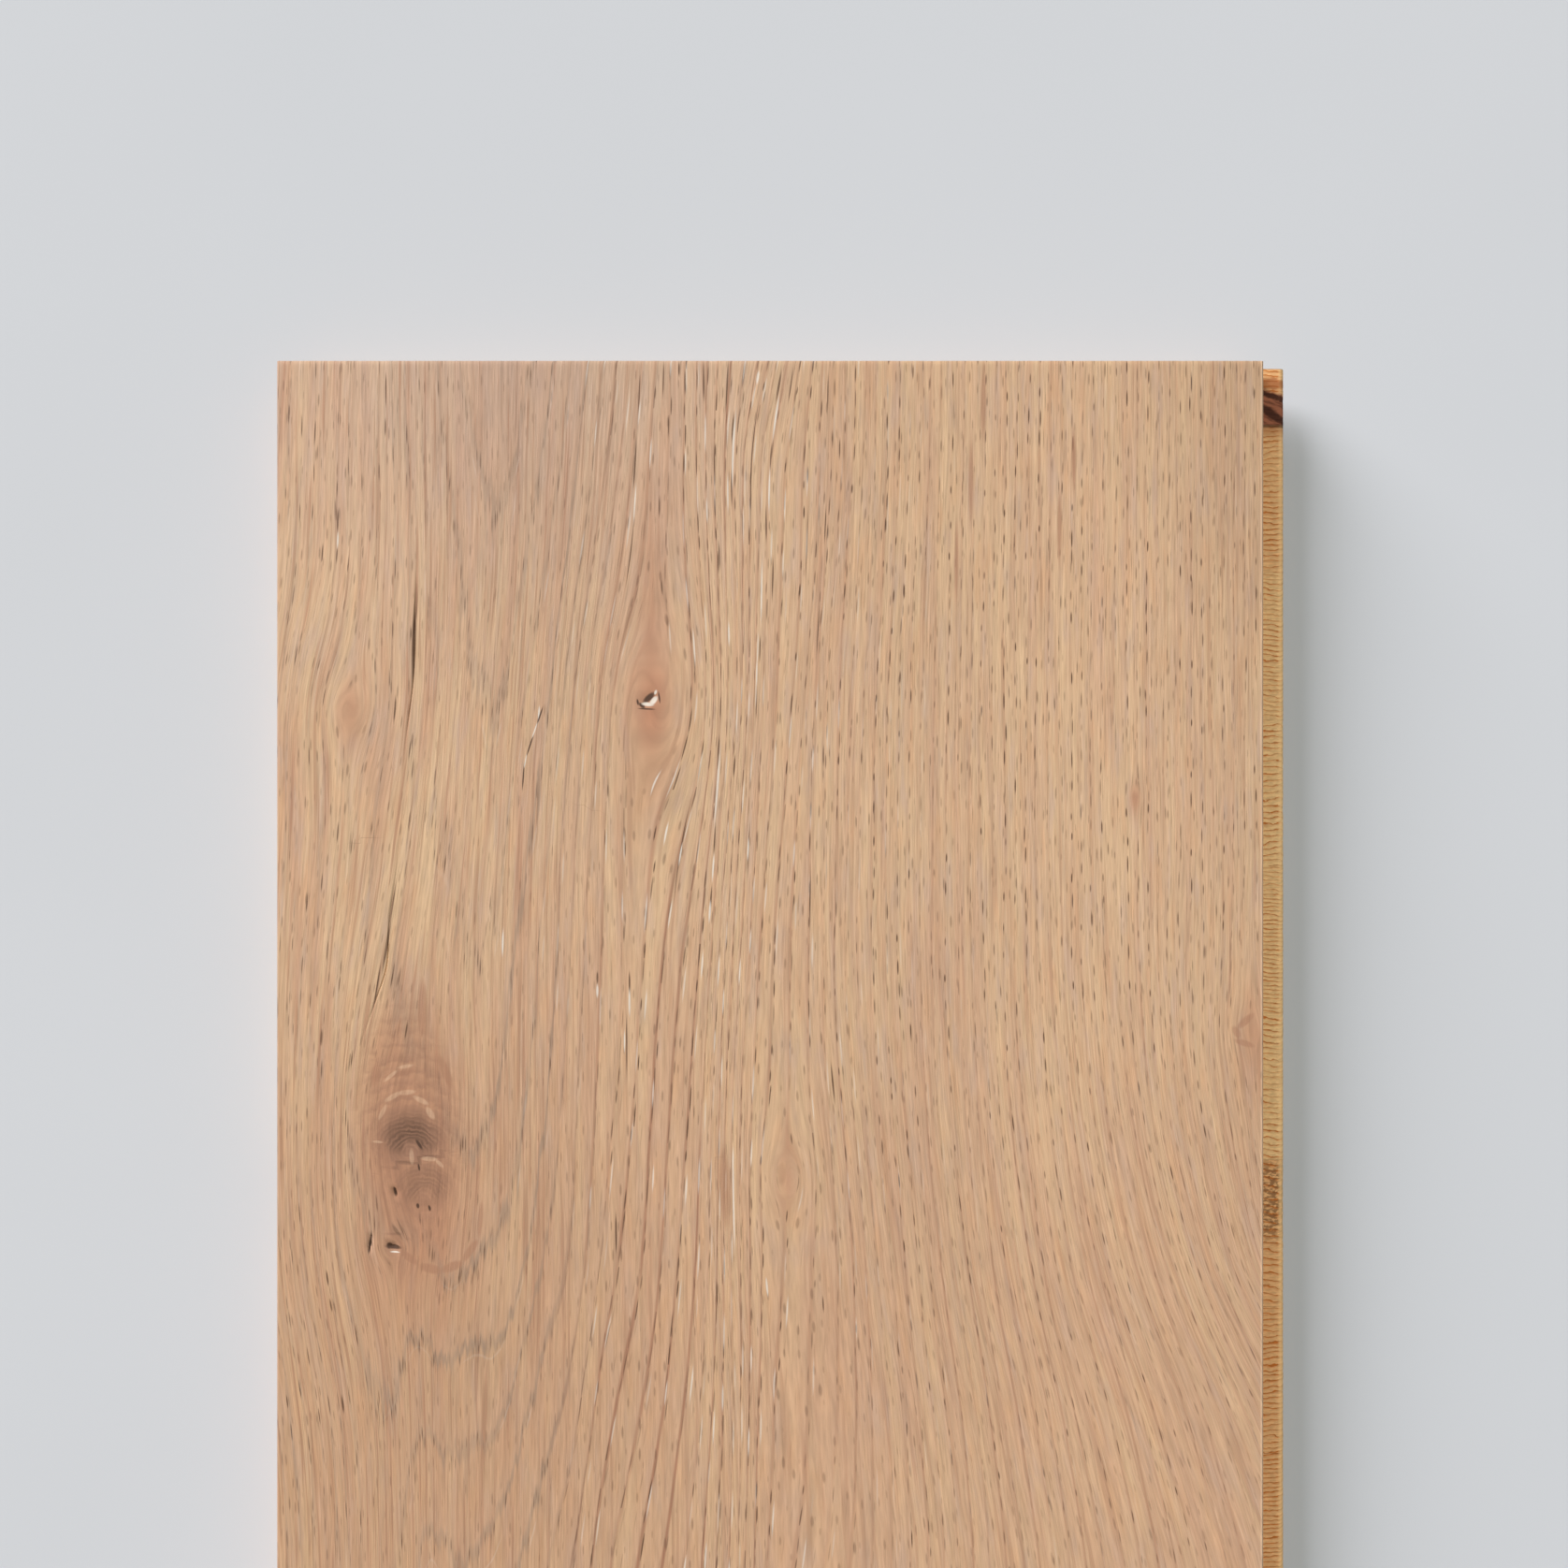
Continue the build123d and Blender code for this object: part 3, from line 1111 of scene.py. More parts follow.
    def end_grain(self, flow: GrainFlow) -> bpy.types.Material:
        """Makes the material of the sawn ends: arcs of rings crossed by short rays.

        Args:
            flow: Gives the ring pitch and the place of the tree's heart.

        Returns:
            The material.
        """
        finish = Finish("oak_end_grain", 0.75, 0.2)
        recipe = finish.recipe
        across, _, up = recipe.split(recipe.position())
        below = up + (flow.heart_depths[0] - self.face_top)
        aside = across - flow.heart_across
        reach = recipe.combine(aside, below).vectors("LENGTH")
        turn = below.maths("ARCTAN2", aside)
        wander = recipe.noise(recipe.combine(aside / 3.0, below / 3.0)) - 0.5
        ring = reach / flow.ring_pitch + wander * 0.3
        early, late, _ = recipe.use(rings_group(), Ring=ring)
        round_way = turn * 40.0  # the angle as a length, at 40 mm from the heart
        rays = recipe.streaks(round_way, reach, pitch=0.25, stretch=14.0, seed=2.0)
        pores, = recipe.use(
            flecks_group(), Across=reach, Along=round_way, Pitch=0.35, Length=0.5, Size=0.34, Seed=6.0
        )
        colour = recipe.mix(self.sawn, self.late, late * 0.5)
        colour = recipe.shade(colour, rays * 0.5 + 0.6)
        colour = recipe.mix(colour, self.pore, pores * early * 0.8)
        normal = recipe.bump((rays - pores * early).maths("MULTIPLY_ADD", 0.5, 0.5), self.brushed_depth)
        return finish.drive(Base_Color=colour, Normal=normal)


@dataclass(frozen=True)
class OakFace:
    """The oak layer: a long flat plank with eased edges, cracks, knots and their holes."""

    half_width: float
    length: float
    bottom: float
    top: float
    bevel: float = 0.4  # worn rounder than the sawn bevel
    shown_length: float = 236.0  # the part of the board that the picture shows
    column_pitch: float = 1.5
    shown_row_pitch: float = 1.05
    far_row_pitch: float = 9.0
    far_from: float = 300.0  # from here on the rows are that far apart
    fine_pitch: float = 0.45  # at the knots that show
    far_knot_pitch: float = 1.8  # and at the other ones
    end_row_pitch: float = 0.35
    dish_depth: float = 0.16  # of the brownest knot
    chip_depth: float = 0.12  # at the sawn ends
    chip_reach: float = 0.5
    node: str = "oak_face"

    @classmethod
    def from_frame(cls) -> "OakFace":
        """Takes the sizes from the frame's own node."""
        low, high = (np.array(corner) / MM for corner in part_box(cls.node))
        return cls(half_width=high[0], length=high[1] - low[1], bottom=low[2], top=high[2])

    def column_pitch_at(self, place: np.ndarray) -> np.ndarray:
        """Gives the wanted pitch of the columns, counted from the left edge of the flat."""
        across = place - (self.half_width - self.bevel)
        pitch = np.full_like(across, self.column_pitch)
        for knot in KNOTS:
            if knot.down < self.shown_length:
                near = swell(across - knot.across, 1.2 * knot.half_width + 1.5)
                closer = self.column_pitch - (self.column_pitch - self.fine_pitch) * near
                pitch = np.minimum(pitch, closer)
        return pitch

    def row_pitch_at(self, down: np.ndarray) -> np.ndarray:
        """Gives the wanted pitch of the rows: fine where the picture looks and at knots."""
        far = ease(down, self.shown_length, self.far_from)
        pitch = self.shown_row_pitch + (self.far_row_pitch - self.shown_row_pitch) * far
        for knot in KNOTS:
            finest = self.fine_pitch if knot.down < self.shown_length else self.far_knot_pitch
            near = swell(down - knot.down, 1.3 * knot.half_length)
            pitch = np.minimum(pitch, finest + (self.far_row_pitch * 1.2 - finest) * (1 - near))
        near_end = swell(down, 1.5)
        return pitch - (pitch - self.end_row_pitch) * near_end

    def relief(self, column: np.ndarray, across: np.ndarray, down: np.ndarray) -> np.ndarray:
        """Gives how deep the face is worn or broken at each place.

        It adds up the crack, a half ellipsoid for each pit, a shallow dish for each
        brown knot and small chips along the sawn ends.

        Args:
            column: Places across before the mesh bends with the crack, in mm.
            across: Places across in mm.
            down: Places down the board in mm.

        Returns:
            The depth in mm.
        """
        depth = Crack().depth(column, down)
        for pit in PITS:
            turn = math.radians(pit.turn)
            aside, past = across - pit.across, down - pit.down
            wide = (aside * math.cos(turn) + past * math.sin(turn)) / pit.half_width
            long = (past * math.cos(turn) - aside * math.sin(turn)) / pit.half_length
            depth += pit.depth * np.sqrt(np.clip(1 - wide**2 - long**2, 0, 1))
        for knot in KNOTS:
            aside, past = across - knot.across, down - knot.down
            reach = np.hypot(aside / knot.half_width, past / knot.half_length)
            depth += self.dish_depth * knot.brown * swell(reach, 0.8)
        from_end = np.minimum(down, self.length - down)
        chips = np.clip(soft_noise(across, down, seed=31, pitch=2.6, stretch=1.0) - 0.4, 0, 1)
        return depth + self.chip_depth * (1 + chips) * np.clip(1 - from_end / self.chip_reach, 0, 1)

    def knot_marks(self, across: np.ndarray, down: np.ndarray) -> tuple[np.ndarray, ...]:
        """Works out what the knots do to the wood about them.

        The reddish stain is a bell round a knot with a slim streak up and down from it.
        The brown stain is flatter in the middle and narrows along its tails.

        Args:
            across: Places across in mm.
            down: Places down the board in mm.

        Returns:
            The reddish stain, the brown stain, how far the wood is from a knot's calm
            heart, and the place in the nearest knot with how brown that knot is.
        """
        blush = np.zeros_like(across)
        bruise = np.zeros_like(across)
        calm = np.ones_like(across)
        nearest = np.full_like(across, np.inf)
        eye = np.zeros((*across.shape, 3))
        for knot in KNOTS:
            aside, past = across - knot.across, down - knot.down
            tail = knot.half_length + np.where(past < 0, knot.tail_up, knot.tail_down)
            near = max(1.3 * knot.half_width, 0.55 * knot.pull)
            core = swell(np.hypot(aside / near, (past - 0.5 * near) / (2.9 * near)), 1.0)
            lean = 0.18 * np.maximum(past, 0)
            streak = 0.66 * swell(aside + lean, 0.66 * near) * swell(past, 0.7 * tail)
            blush = np.maximum(blush, knot.stain * np.maximum(core, streak))
            wide = 1.05 * max(knot.half_width, knot.pull) * (0.25 + 0.75 * swell(past, 0.75 * tail))
            flat = swell(((aside - 0.09 * past) / wide) ** 2, 1.0) * swell((past / (0.8 * tail)) ** 2, 1.0)
            bruise = np.maximum(bruise, knot.brown * flat)
            heart = swell(np.hypot(aside, past / knot.stretch), 0.68 * knot.pull + 0.6)
            calm = np.minimum(calm, 1 - ease(heart, 0.2, 0.6))
            across_eye, down_eye = aside / knot.half_width, past / knot.half_length
            reach = np.hypot(across_eye, down_eye)
            closer = reach < nearest
            nearest = np.where(closer, reach, nearest)
            here = np.stack((across_eye, down_eye, np.full_like(aside, knot.brown)), -1)
            eye = np.where(closer[..., None], here, eye)
        return blush, bruise, calm, eye

    def marks(
        self, flow: GrainFlow, across: np.ndarray, down: np.ndarray, depth: np.ndarray
    ) -> dict[str, np.ndarray]:
        """Works out what the mesh carries for the finish.

        The tones change over the board in a few wide soft zones: its low end in the
        picture with a left and a right part, the shown end, the long sides and the
        peaks of the growth rings over the heart of the tree.

        Args:
            flow: The face's grain.
            across: Places across, counted on over the edges and down the sides, in mm.
            down: Places down the board in mm.
            depth: Depth below the face in mm.

        Returns:
            Vectors by name. "flow" has fibre label, place down and ring count. "stain"
            has reddish stain, warmth and ring contrast. "pores" has shares of pale
            pigment, dark pores and scattered pores. "eye" has the place in the nearest
            knot and how brown that knot is. "tone" has how far the wood is from a knot's
            calm heart, how light it is and how ashen. "spread" has the rings crossed by
            a step across, against those on the quiet right, the brown stain and how
            tanned the wood is.
        """
        label = flow.label(across, down)
        ring = flow.ring(label, down, depth)
        blush, bruise, calm, eye = self.knot_marks(across, down)

        low = ease(down, 90, 190)
        high = 1 - low
        low_left = low * (0.5 + 0.5 * ease(-across, -30, 60))
        low_right = low * ease(across, -10, 40)
        peak = swell(down, 26)
        warmth = 0.18 * low_left + 0.12 * swell(across + 50, 26) * swell(down, 50)
        warmth += 0.3 * swell(across + 51, 7) * peak - 0.04
        warmth += 0.08 * soft_noise(across, down, seed=3, pitch=60, stretch=2.0)
        contrast = 0.24 + 0.52 * swell(across + 24, 42) + 0.16 * low_right + 0.12 * low_left
        pigment = 0.10 + 0.85 * swell(across + 12, 28)
        darkness = 1.0 - 0.25 * swell(across + 52, 20) - 0.3 * low_right
        scattered = 1 - ease(label, -40, -26)
        crossed = np.abs(np.gradient(ring, axis=1) / np.gradient(across, axis=1)) * flow.ring_pitch
        squeeze = np.clip(crossed, 0.2, 1.3)
        darker = (
            0.08 * ease(across, 60, 95) * (1 - 0.6 * low),
            0.03 * ease(across, -15, 30) * high,
            0.035 * ease(across, -10, 50) * swell(down, 60),
            0.04 * ease(-across, -10, 50) * high,
            0.03 * swell(across + 51, 8) * peak,
            0.05 * swell(across + 60, 12) * swell(down - 192, 14),
            0.02 * low,
            0.05 * low_left,
        )
        shine = 1.01 - sum(darker) + 0.025 * soft_noise(across, down, seed=17, pitch=90, stretch=2.0)
        ashen = 0.55 * swell(down, 40) * ease(-across, -20, 40) * (1 - 0.6 * ease(-across, 70, 95))
        return {
            "flow": np.stack((label, down, ring), -1),
            "stain": np.stack((blush, warmth, contrast), -1),
            "pores": np.stack((pigment, darkness, scattered), -1),
            "eye": eye,
            "tone": np.stack((calm, shine, ashen), -1),
            "spread": np.stack((squeeze, bruise, 0.32 * low_left), -1),
        }

    def build(self) -> bpy.types.Object:
        """Builds the layer as one closed ring of points carried down the board.

        The ring goes over the flat from left to right and back round under the layer,
        and the first and last rings are closed by one flat face each.

        Returns:
            The piece.
        """
        flow = GrainFlow()
        flat = self.half_width - self.bevel
        columns = graded_stations(2 * flat, self.column_pitch_at) - flat
        crack = Crack()
        lips = crack.start_across + crack.half_width * np.linspace(-1, 1, 5)
        clear = np.abs(columns - crack.start_across) > 1.4 * crack.half_width
        columns = np.sort(np.concatenate((columns[clear], lips)))
        rows = graded_stations(self.length, self.row_pitch_at)

        column, down = np.meshgrid(columns, rows)
        across = column + crack.bend(column, down)
        relief = self.relief(column, across, down)

        sides = np.array(((self.half_width, self.top - self.bevel), (self.half_width, self.bottom)))
        under = np.linspace(self.half_width, -self.half_width, 7)[1:-1]
        right = np.array((*sides[:, 0], *under, *(-sides[::-1, 0])))
        heights = np.array((*sides[:, 1], *np.full(len(under), self.bottom), *sides[::-1, 1]))
        thickness = self.top - self.bottom
        unrolled = np.array((
            self.half_width, self.half_width + thickness, *under,
            -self.half_width - thickness, -self.half_width,
        ))

        lower_down = np.repeat(rows[:, None], len(right), axis=1)
        ring_across = np.hstack((across, np.broadcast_to(right, lower_down.shape)))
        ring_down = np.hstack((down, lower_down))
        ring_up = np.hstack((self.top - relief, np.broadcast_to(heights, lower_down.shape)))
        seen_across = np.hstack((across, np.broadcast_to(unrolled, lower_down.shape)))
        points = np.stack((ring_across, self.length / 2 - ring_down, ring_up), -1).reshape(-1, 3)
        marks = self.marks(flow, seen_across, ring_down, self.top - ring_up)

        count = ring_across.shape[1]
        faces = strip_faces(len(rows), count)
        caps = [list(range(count)), list(range(len(points) - 1, len(points) - count - 1, -1))]
        material_of = np.concatenate((np.zeros(len(faces)), (1, 1)))
        finish = OakFinish()
        piece = lay_mesh(
            "oak_wear_layer",
            points,
            faces.tolist() + caps,
            {name: values.reshape(-1, 3) for name, values in marks.items()},
            [finish.face(flow, self.half_width), finish.end_grain(flow)],
            material_of,
            smooth_under=32,
        )
        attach(piece, "root")
        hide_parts(self.node)
        return piece


@dataclass(frozen=True)
class SoftwoodFinish:
    """Bare softwood, sawn and milled, with narrow rings."""

    name: str
    pale: Colour = from_screen(255, 211, 151)
    amber: Colour = from_screen(245, 189, 131)
    late: Colour = from_screen(206, 118, 50)
    torn: Colour = from_screen(140, 96, 60)
    rust: Colour = from_screen(172, 100, 56)
    # Also draws the gap at the first seam dark, as painted shade
    bark: Colour = from_screen(62, 32, 22)
    plum: Colour = from_screen(168, 104, 76)
    root: float = 95.0  # where the tongue leaves the slat, across the board in mm
    nose_starts: float = 99.4
    groove_side: float = -94.9
    half_length: float = 950.0
    first_seam: float = 11.2  # middle of the gap under the shown end, down the board
    knot_fades_in: tuple[float, float] = (-14.0, -5.0)  # from the root, towards the tongue
    roughness: float = 0.8
    grain_depth: float = 0.00015

    def slats(self) -> bpy.types.Material:
        """Makes the material of the core slats, whose fibres run across the board.

        The mesh carries "slat", with ring count, tone and how torn the wood is. Near the
        tongue the first slat has a dark knot, two slanting bands of bark in plum-brown
        wood, with rust-coloured wood above it and below the seam. The gap at that seam
        is drawn as a dark line of painted shade.

        Returns:
            The material.
        """
        finish = Finish(self.name, self.roughness, 0.2)
        recipe = finish.recipe
        ring, tone, torn = recipe.split(recipe.attribute("slat"))
        across, along, up = recipe.split(recipe.position())
        wander = recipe.noise(recipe.combine(across / 5.0, along / 2.6, up / 2.6)) - 0.5
        ripple = recipe.noise(recipe.combine(across / 1.6, along / 1.1, up)) - 0.5
        _, late, edge = recipe.use(rings_group(), Ring=ring + wander * 1.5 + ripple * 0.7)
        patch = recipe.noise(recipe.combine(across / 6.0, along / 5.0, 3.0)).ease(0.35, 0.65)
        fibres = recipe.streaks(along + up, across, pitch=0.3, stretch=10.0, seed=1.0)
        rough = recipe.streaks(along + up, across, pitch=0.55, stretch=2.2, seed=5.0)
        depth = (tone * 0.35 + 0.8) * (patch * 0.7 + 0.5)
        nose = across.ease(self.nose_starts, self.nose_starts + 0.7)

        down = along.maths("MULTIPLY_ADD", -1.0, self.half_length)
        aside = across - self.root
        drift = wander * 1.8 + ripple * 1.3
        near = aside.ease(*self.knot_fades_in)
        zone = (down - aside * 0.25 + drift).ease(3.3, 4.4) * down.ease(10.9, 11.15).inverse() * near
        upper = (down - aside * 0.30 + drift - 4.6).maths("ABSOLUTE").ease(0.3, 0.9).inverse()
        lower = (down - aside * 0.58 + drift - 6.9).maths("ABSOLUTE").ease(0.5, 1.3).inverse()
        blotch = (down + drift - 2.9).maths("ABSOLUTE").ease(0.6, 1.8).inverse()
        slanting = recipe.combine(aside / 4.0, (down - aside * 0.45) / 0.6, 5.0)
        splinters = recipe.noise(slanting).ease(0.46, 0.6)
        bark = upper.maths("MAXIMUM", lower).maths("MAXIMUM", splinters * 0.6)
        below = down.ease(self.first_seam, 11.5) * down.ease(11.6, 14.5).inverse()
        # Painted shade: the gap at the first seam is drawn as a dark line
        seam = (down - self.first_seam).maths("ABSOLUTE").ease(0.1, 0.55).inverse()
        colour = recipe.coat(
            self.pale,
            (self.amber, tone),
            (self.late, (late * 0.5 + edge * 1.1) * (fibres * 1.4 + 0.35) * depth),
            (self.torn, rough.ease(0.40, 0.58) * torn * 0.8),
            (self.pale, nose * 0.65),
            (self.rust, blotch * near * 0.8),
            (self.plum, zone),
            (self.bark, bark * zone * (fibres * 0.5 + 0.65)),
            (self.rust, below * near * (fibres * 0.9 + 0.1)),
            # Painted shade in the gap at the first seam
            (self.bark, seam * 0.75),
        )
        sawn = across.ease(self.groove_side, self.groove_side + 0.6).inverse()
        sawn = sawn.maths("MAXIMUM", down.ease(0.02, 0.1).inverse())
        colour = recipe.shade(colour, (fibres * 0.6 + 0.70) * (sawn * -0.65 + 1.0))
        height = (fibres * 0.5 + rough * torn * 1.5 + late * 0.4).maths("MULTIPLY", 0.4)
        normal = recipe.bump(height, self.grain_depth)
        return finish.drive(Base_Color=colour, Normal=normal)

    def sheet(self) -> bpy.types.Material:
        """Makes the material of the backing, whose fibres run along the board."""
        finish = Finish(self.name, self.roughness, 0.2)
        recipe = finish.recipe
        across, along, up = recipe.split(recipe.position())
        wander = recipe.noise(recipe.combine(across / 14.0, along / 160.0, 0.0)) - 0.5
        aside = across + wander * 16.0 + up * 2.0
        heart = (along / 170.0).maths("SINE") * 12.0 + 30.0
        reach = recipe.combine(aside, heart).vectors("LENGTH")
        _, late, _ = recipe.use(rings_group(), Ring=reach / 3.2)
        fibres = recipe.streaks(aside, along, pitch=0.5, stretch=40.0, seed=2.0)
        colour = recipe.mix(self.pale, self.late, late * (fibres * 0.8 + 0.2))
        colour = recipe.shade(colour, fibres * 0.4 + 0.78)
        normal = recipe.bump(fibres * 0.5 + late * 0.4, self.grain_depth)
        return finish.drive(Base_Color=colour, Normal=normal)


@dataclass(frozen=True)
class CrossCore:
    """The core: softwood slats laid side by side across the board.

    Together they carry the tongue on one long edge and the groove on the other. The
    section is in mm, and the slats are counted from the shown end.
    """

    half_width: float
    length: float
    bottom: float
    top: float
    tongue_end: float
    tongue_top: float = 9.0
    tongue_bottom: float = 5.0
    nose_radius: float = 1.2
    root_radius: float = 0.4
    play: float = 0.15
    groove_depth: float = 6.5
    mouth_chamfer: float = 0.6
    setback: float = 0.5
    first_slat: float = 11.0
    slat_width: float = 28.4
    gap: float = 0.4
    closing: float = 0.18  # how far each slat's edge has swollen into the gap
    # How amber each slat is that shows
    shown_tones: tuple[float, ...] = (1.2, 0.7, 0.15, 0.0, 0.1, 0.0, 1.1, 1.2, 1.0)
    row_pitch: float = 0.6
    fray: float = 0.12
    torn_down: float = 163.2  # middle of the torn stretch
    torn_half_length: float = 7.5
    seed: int = 12
    fray_seed: int = 50  # of the first slat, and one more for each next one
    node: str = "core_slats"

    @classmethod
    def from_frame(cls) -> "CrossCore":
        """Takes the outer sizes from the frame's own nodes."""
        low, high = (np.array(corner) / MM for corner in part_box(cls.node))
        length = high[1] - low[1]
        return cls(half_width=-low[0], length=length, bottom=low[2], top=high[2], tongue_end=high[0])

    def section(self) -> np.ndarray:
        """Draws the section, turning right as seen from the shown end's side.

        It goes over the top, round the tongue with its rounded nose, along the bottom
        and round the groove, with each rounding as points on a quarter circle.

        Returns:
            Places across and up in mm, one row each.
        """
        quarter = np.linspace(0, math.pi / 2, 7)
        wide, low = self.half_width, self.half_width - self.setback
        centre = self.tongue_end - self.nose_radius
        root = (wide + self.root_radius - self.root_radius * np.cos(quarter),
                self.tongue_top + self.root_radius - self.root_radius * np.sin(quarter))
        upper = (centre + self.nose_radius * np.sin(quarter),
                 self.tongue_top - self.nose_radius + self.nose_radius * np.cos(quarter))
        lower = (centre + self.nose_radius * np.cos(quarter),
                 self.tongue_bottom + self.nose_radius - self.nose_radius * np.sin(quarter))
        floor, roof = self.tongue_bottom - self.play, self.tongue_top + self.play
        deep = self.groove_depth - wide
        groove = (
            (-low, self.bottom), (-low, floor - self.mouth_chamfer), (-low + self.mouth_chamfer, floor),
            (deep, floor), (deep, roof), (-wide + self.mouth_chamfer, roof),
            (-wide, roof + self.mouth_chamfer), (-wide, self.top),
        )
        over = [(place, self.top) for place in np.linspace(-wide, wide, 9)[1:]]
        right = np.concatenate([np.stack(arc, 1) for arc in (root, upper, lower)])
        under = ((low, self.tongue_bottom), (low, self.bottom))
        return np.concatenate((over, right, under, groove))

    def spans(self) -> list[tuple[float, float]]:
        """Lists where each slat starts and ends down the board."""
        starts = [0.0]
        ends = [self.first_slat]
        while ends[-1] < self.length:
            starts.append(ends[-1] + self.gap)
            ends.append(min(starts[-1] + self.slat_width, self.length))
        return list(zip(starts, ends))

    def build(self) -> bpy.types.Object:
        """Builds every slat as the section carried along its width, closed at both ends.

        The nose of the tongue is frayed inwards by a seeded wobble. Each slat gets its
        own rings: even planes, leaning at its own angle and at its own pitch.

        Returns:
            The piece.
        """
        section = self.section()
        count = len(section)
        chance = np.random.default_rng(self.seed)
        all_points, all_faces, slat_marks = [], [], []
        total = 0
        for number, (start, end) in enumerate(self.spans()):
            start, end = max(start - self.closing, 0.0), min(end + self.closing, self.length)
            shown = number < len(self.shown_tones)
            rows = max(3, round((end - start) / self.row_pitch)) if shown else 2
            down = np.linspace(start, end, rows)[:, None]
            across = np.broadcast_to(section[:, 0], (rows, count)).copy()
            up = np.broadcast_to(section[:, 1], (rows, count)).copy()
            torn = 0.2 + 0.8 * ease(swell(down - self.torn_down, self.torn_half_length), 0.2, 0.6)
            nose = ease(across, self.tongue_end - self.nose_radius, self.tongue_end)
            wobble = np.abs(soft_noise(up * 2.0, down * 3.0, self.fray_seed + number, 2.4, 1.0))
            across -= nose * wobble * self.fray * (0.4 + torn)
            along = np.broadcast_to(self.length / 2 - down, across.shape)
            points = np.stack((across, along, up), -1).reshape(-1, 3)
            lean, slant = chance.uniform(-0.9, 0.9), chance.uniform(-0.10, 0.10)
            pitch, tone = chance.uniform(0.75, 1.15), chance.uniform(0.0, 0.8)
            tone = self.shown_tones[number] if shown else tone
            x, y, z = points.T
            ring = (y * math.cos(lean) + z * math.sin(lean) + x * slant) / pitch
            torn_there = np.broadcast_to(torn, across.shape).ravel()
            slat_marks.append(np.stack((ring, np.full_like(x, tone), torn_there), 1))
            faces = strip_faces(rows, count) + total
            past = total + rows * count
            caps = [list(range(total, total + count)), list(range(past - 1, past - count - 1, -1))]
            all_points.append(points)
            all_faces.extend(faces.tolist() + caps)
            total = past
        piece = lay_mesh(
            "core_cross_slats",
            np.concatenate(all_points),
            all_faces,
            {"slat": np.concatenate(slat_marks)},
            [SoftwoodFinish("softwood_slats").slats()],
            np.zeros(len(all_faces)),
            smooth_under=32,
        )
        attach(piece, "root")
        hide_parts(self.node)
        return piece


@dataclass(frozen=True)
class Backing:
    """The backing veneer, which keeps the frame's own mesh."""

    node: str = "backing"

    def dress(self) -> bpy.types.Object:
        """Gives the veneer its finish and returns its object."""
        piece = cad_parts[self.node]
        pale, late = from_screen(222, 190, 146), from_screen(190, 146, 98)
        material = SoftwoodFinish("softwood_backing", pale=pale, late=late).sheet()
        piece.data.materials.clear()
        piece.data.materials.append(material)
        return piece


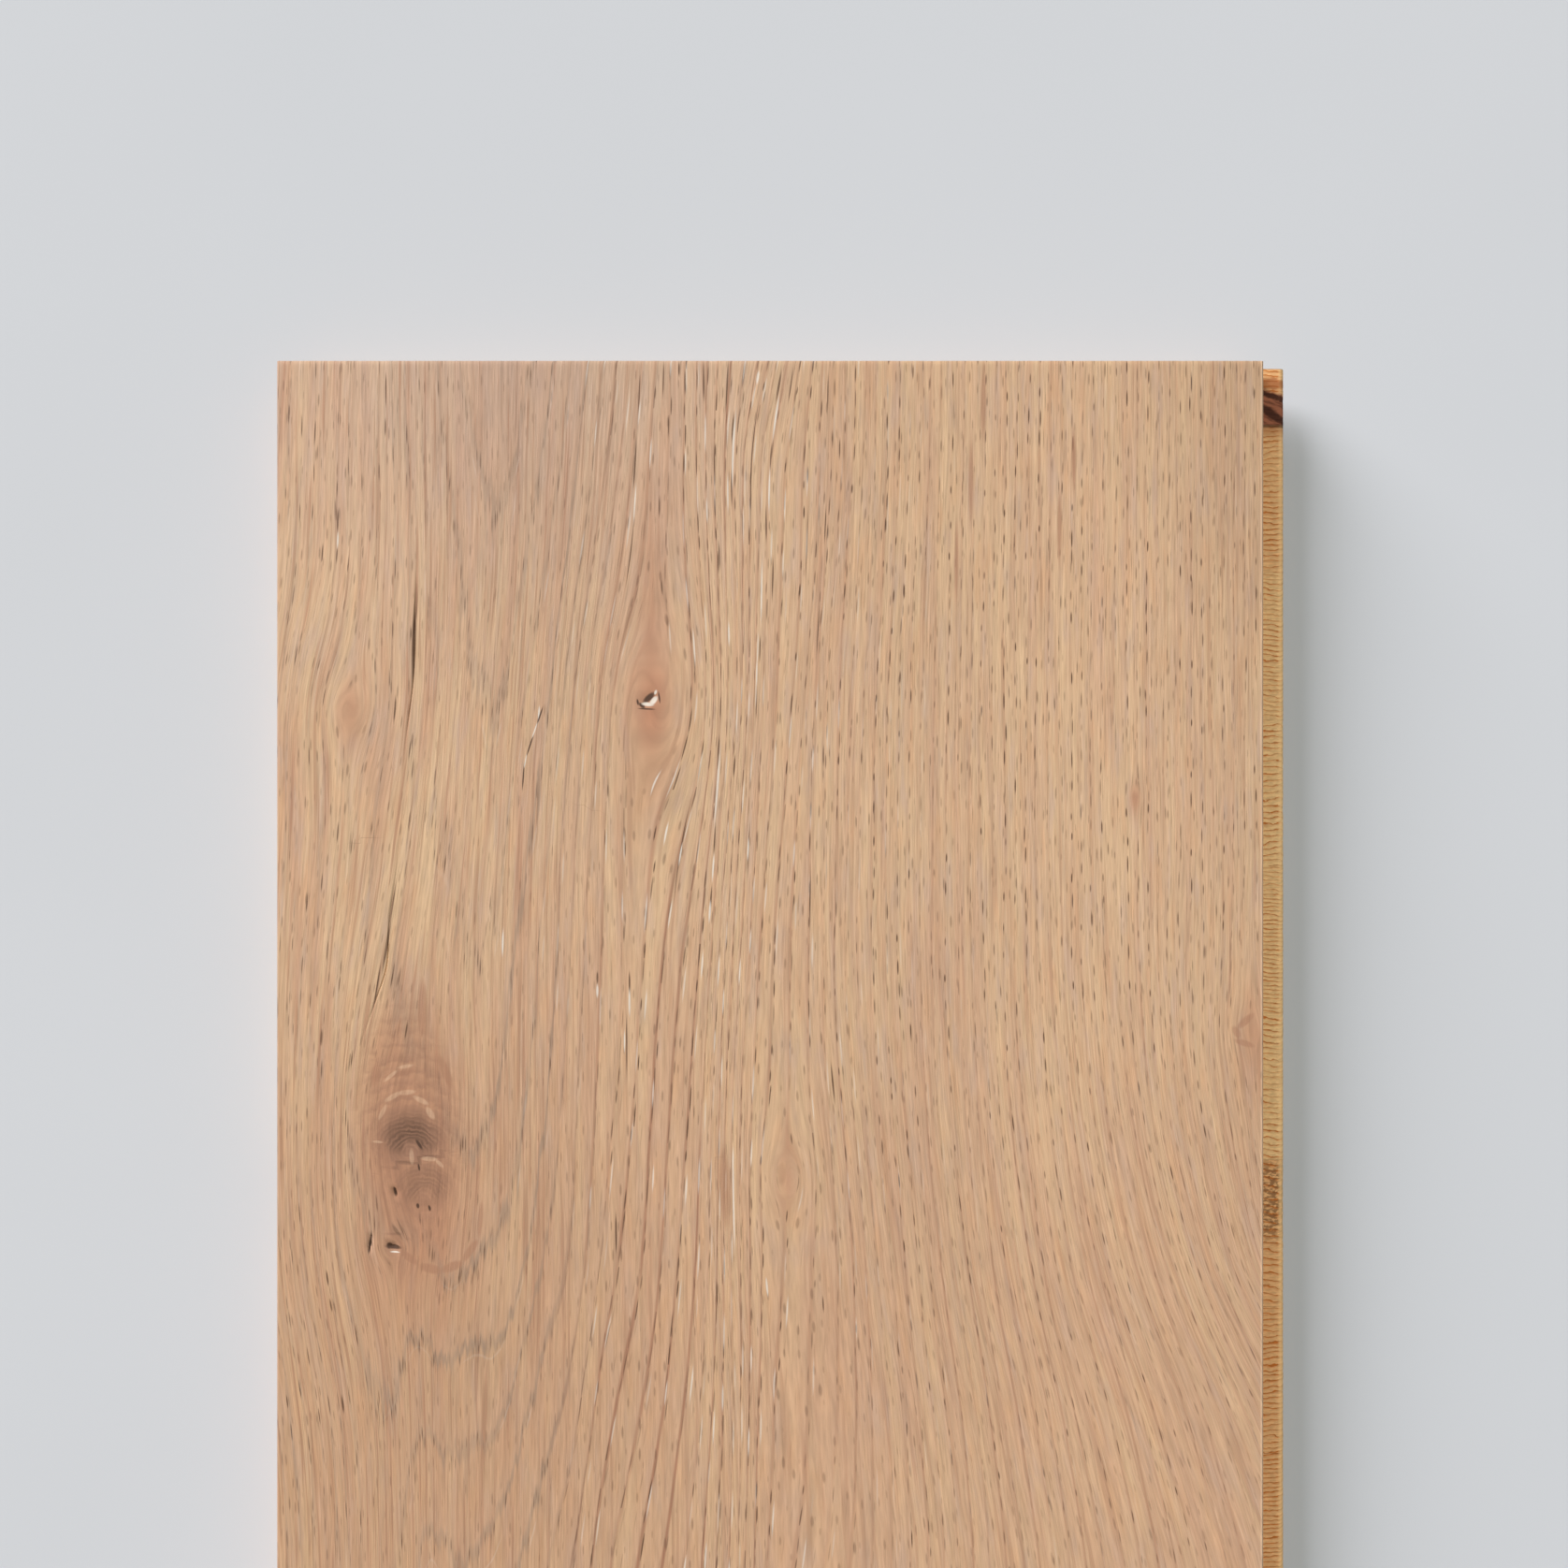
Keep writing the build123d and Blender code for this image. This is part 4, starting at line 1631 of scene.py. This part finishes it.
@dataclass(frozen=True)
class Studio:
    """The plain pale floor, the soft light and the camera above the board."""

    floor_half_size: float = 4.0
    floor_colour: Colour = (0.629, 0.642, 0.667)
    floor_unevenness: float = 0.02
    key_from: Colour = (-0.67, 0.65, 0.36)
    key_strength: float = 4.61
    key_spread: float = 35.0
    key_colour: Colour = (0.97, 0.957, 1.0)
    fill_strength: float = 1.5
    fill_spread: float = 42.0
    fill_colour: Colour = (0.97, 0.99, 0.925)
    surround: Colour = (0.05, 0.051, 0.053)
    lens_width: float = 36.0
    camera_height: float = 250.0  # above the face
    view_width: float = 301.68  # of the face plane
    camera_across: float = 2.655
    camera_down: float = 81.45

    def lay_floor(self) -> None:
        """Lays the floor under the board, with a faint unevenness of tone."""
        half = self.floor_half_size
        mesh = bpy.data.meshes.new("studio_floor")
        corners = ((-half, -half, 0), (half, -half, 0), (half, half, 0), (-half, half, 0))
        mesh.from_pydata(corners, [], [(0, 1, 2, 3)])
        finish = Finish("studio_floor", 0.9, 0.1)
        recipe = finish.recipe
        cloud = recipe.noise(recipe.position().vectors("MULTIPLY", (0.01, 0.01, 0.01)))
        lighter = tuple(part * (1 + self.floor_unevenness) for part in self.floor_colour)
        darker = tuple(part * (1 - self.floor_unevenness) for part in self.floor_colour)
        mesh.materials.append(finish.drive(Base_Color=recipe.mix(darker, lighter, cloud)))
        floor = bpy.data.objects.new("studio_floor", mesh)
        bpy.context.scene.collection.objects.link(floor)

    def hang_lamp(self, name: str, direction: Colour, strength: float, spread: float, colour: Colour) -> None:
        """Hangs one far lamp with a wide soft disc.

        Args:
            name: The lamp's name.
            direction: Where its light comes from.
            strength: Its light on a surface that faces it.
            spread: How wide its disc looks, in degrees.
            colour: Its colour.
        """
        lamp = bpy.data.lights.new(name, "SUN")
        lamp.energy = strength
        lamp.angle = math.radians(spread)
        lamp.color = colour
        holder = bpy.data.objects.new(name, lamp)
        x, y, z = direction
        holder.rotation_euler = (math.atan2(math.hypot(x, y), z), 0.0, math.atan2(x, -y))
        bpy.context.scene.collection.objects.link(holder)

    def light(self) -> None:
        """Hangs the key lamp and the fill lamp and sets the pale surround."""
        self.hang_lamp("key", self.key_from, self.key_strength, self.key_spread, self.key_colour)
        self.hang_lamp("fill", (0.0, 0.0, 1.0), self.fill_strength, self.fill_spread, self.fill_colour)
        world = bpy.data.worlds.new("studio")
        world.use_nodes = True
        tree = world.node_tree
        background = next(node for node in tree.nodes if node.type == "BACKGROUND")
        recipe = Recipe(tree)
        path = recipe.node("LightPath", {})
        seen = Signal(tree, path.outputs["Is Camera Ray"])
        shown = recipe.mix(self.surround, self.floor_colour, seen)
        plug(tree, shown, background.inputs["Color"])
        bpy.context.scene.world = world

    def stand_camera(self, board: OakFace) -> None:
        """Stands the camera straight above the shown end, looking down.

        Args:
            board: The oak layer, whose top and end give the place.
        """
        lens = bpy.data.cameras.new("camera")
        lens.sensor_width = self.lens_width
        lens.lens = self.lens_width * self.camera_height / self.view_width
        lens.clip_start = 0.01
        camera = bpy.data.objects.new("camera", lens)
        place = (self.camera_across, board.length / 2 - self.camera_down, board.top + self.camera_height)
        camera.location = tuple(part * MM for part in place)
        bpy.context.scene.collection.objects.link(camera)
        bpy.context.scene.camera = camera


def main() -> None:
    """Builds the board's layers in order, then the studio, and keeps the boxes' sizes."""
    logging.basicConfig(level=logging.INFO, format="%(name)s: %(message)s")
    bpy.context.scene.view_settings.view_transform = "Standard"
    board = OakFace.from_frame()
    for piece in (board.build(), CrossCore.from_frame().build(), Backing().dress()):
        LOG.info("%s has %d faces", piece.name, len(piece.data.polygons))
    studio = Studio()
    studio.lay_floor()
    studio.light()
    studio.stand_camera(board)


if __name__ == "__main__":
    main()
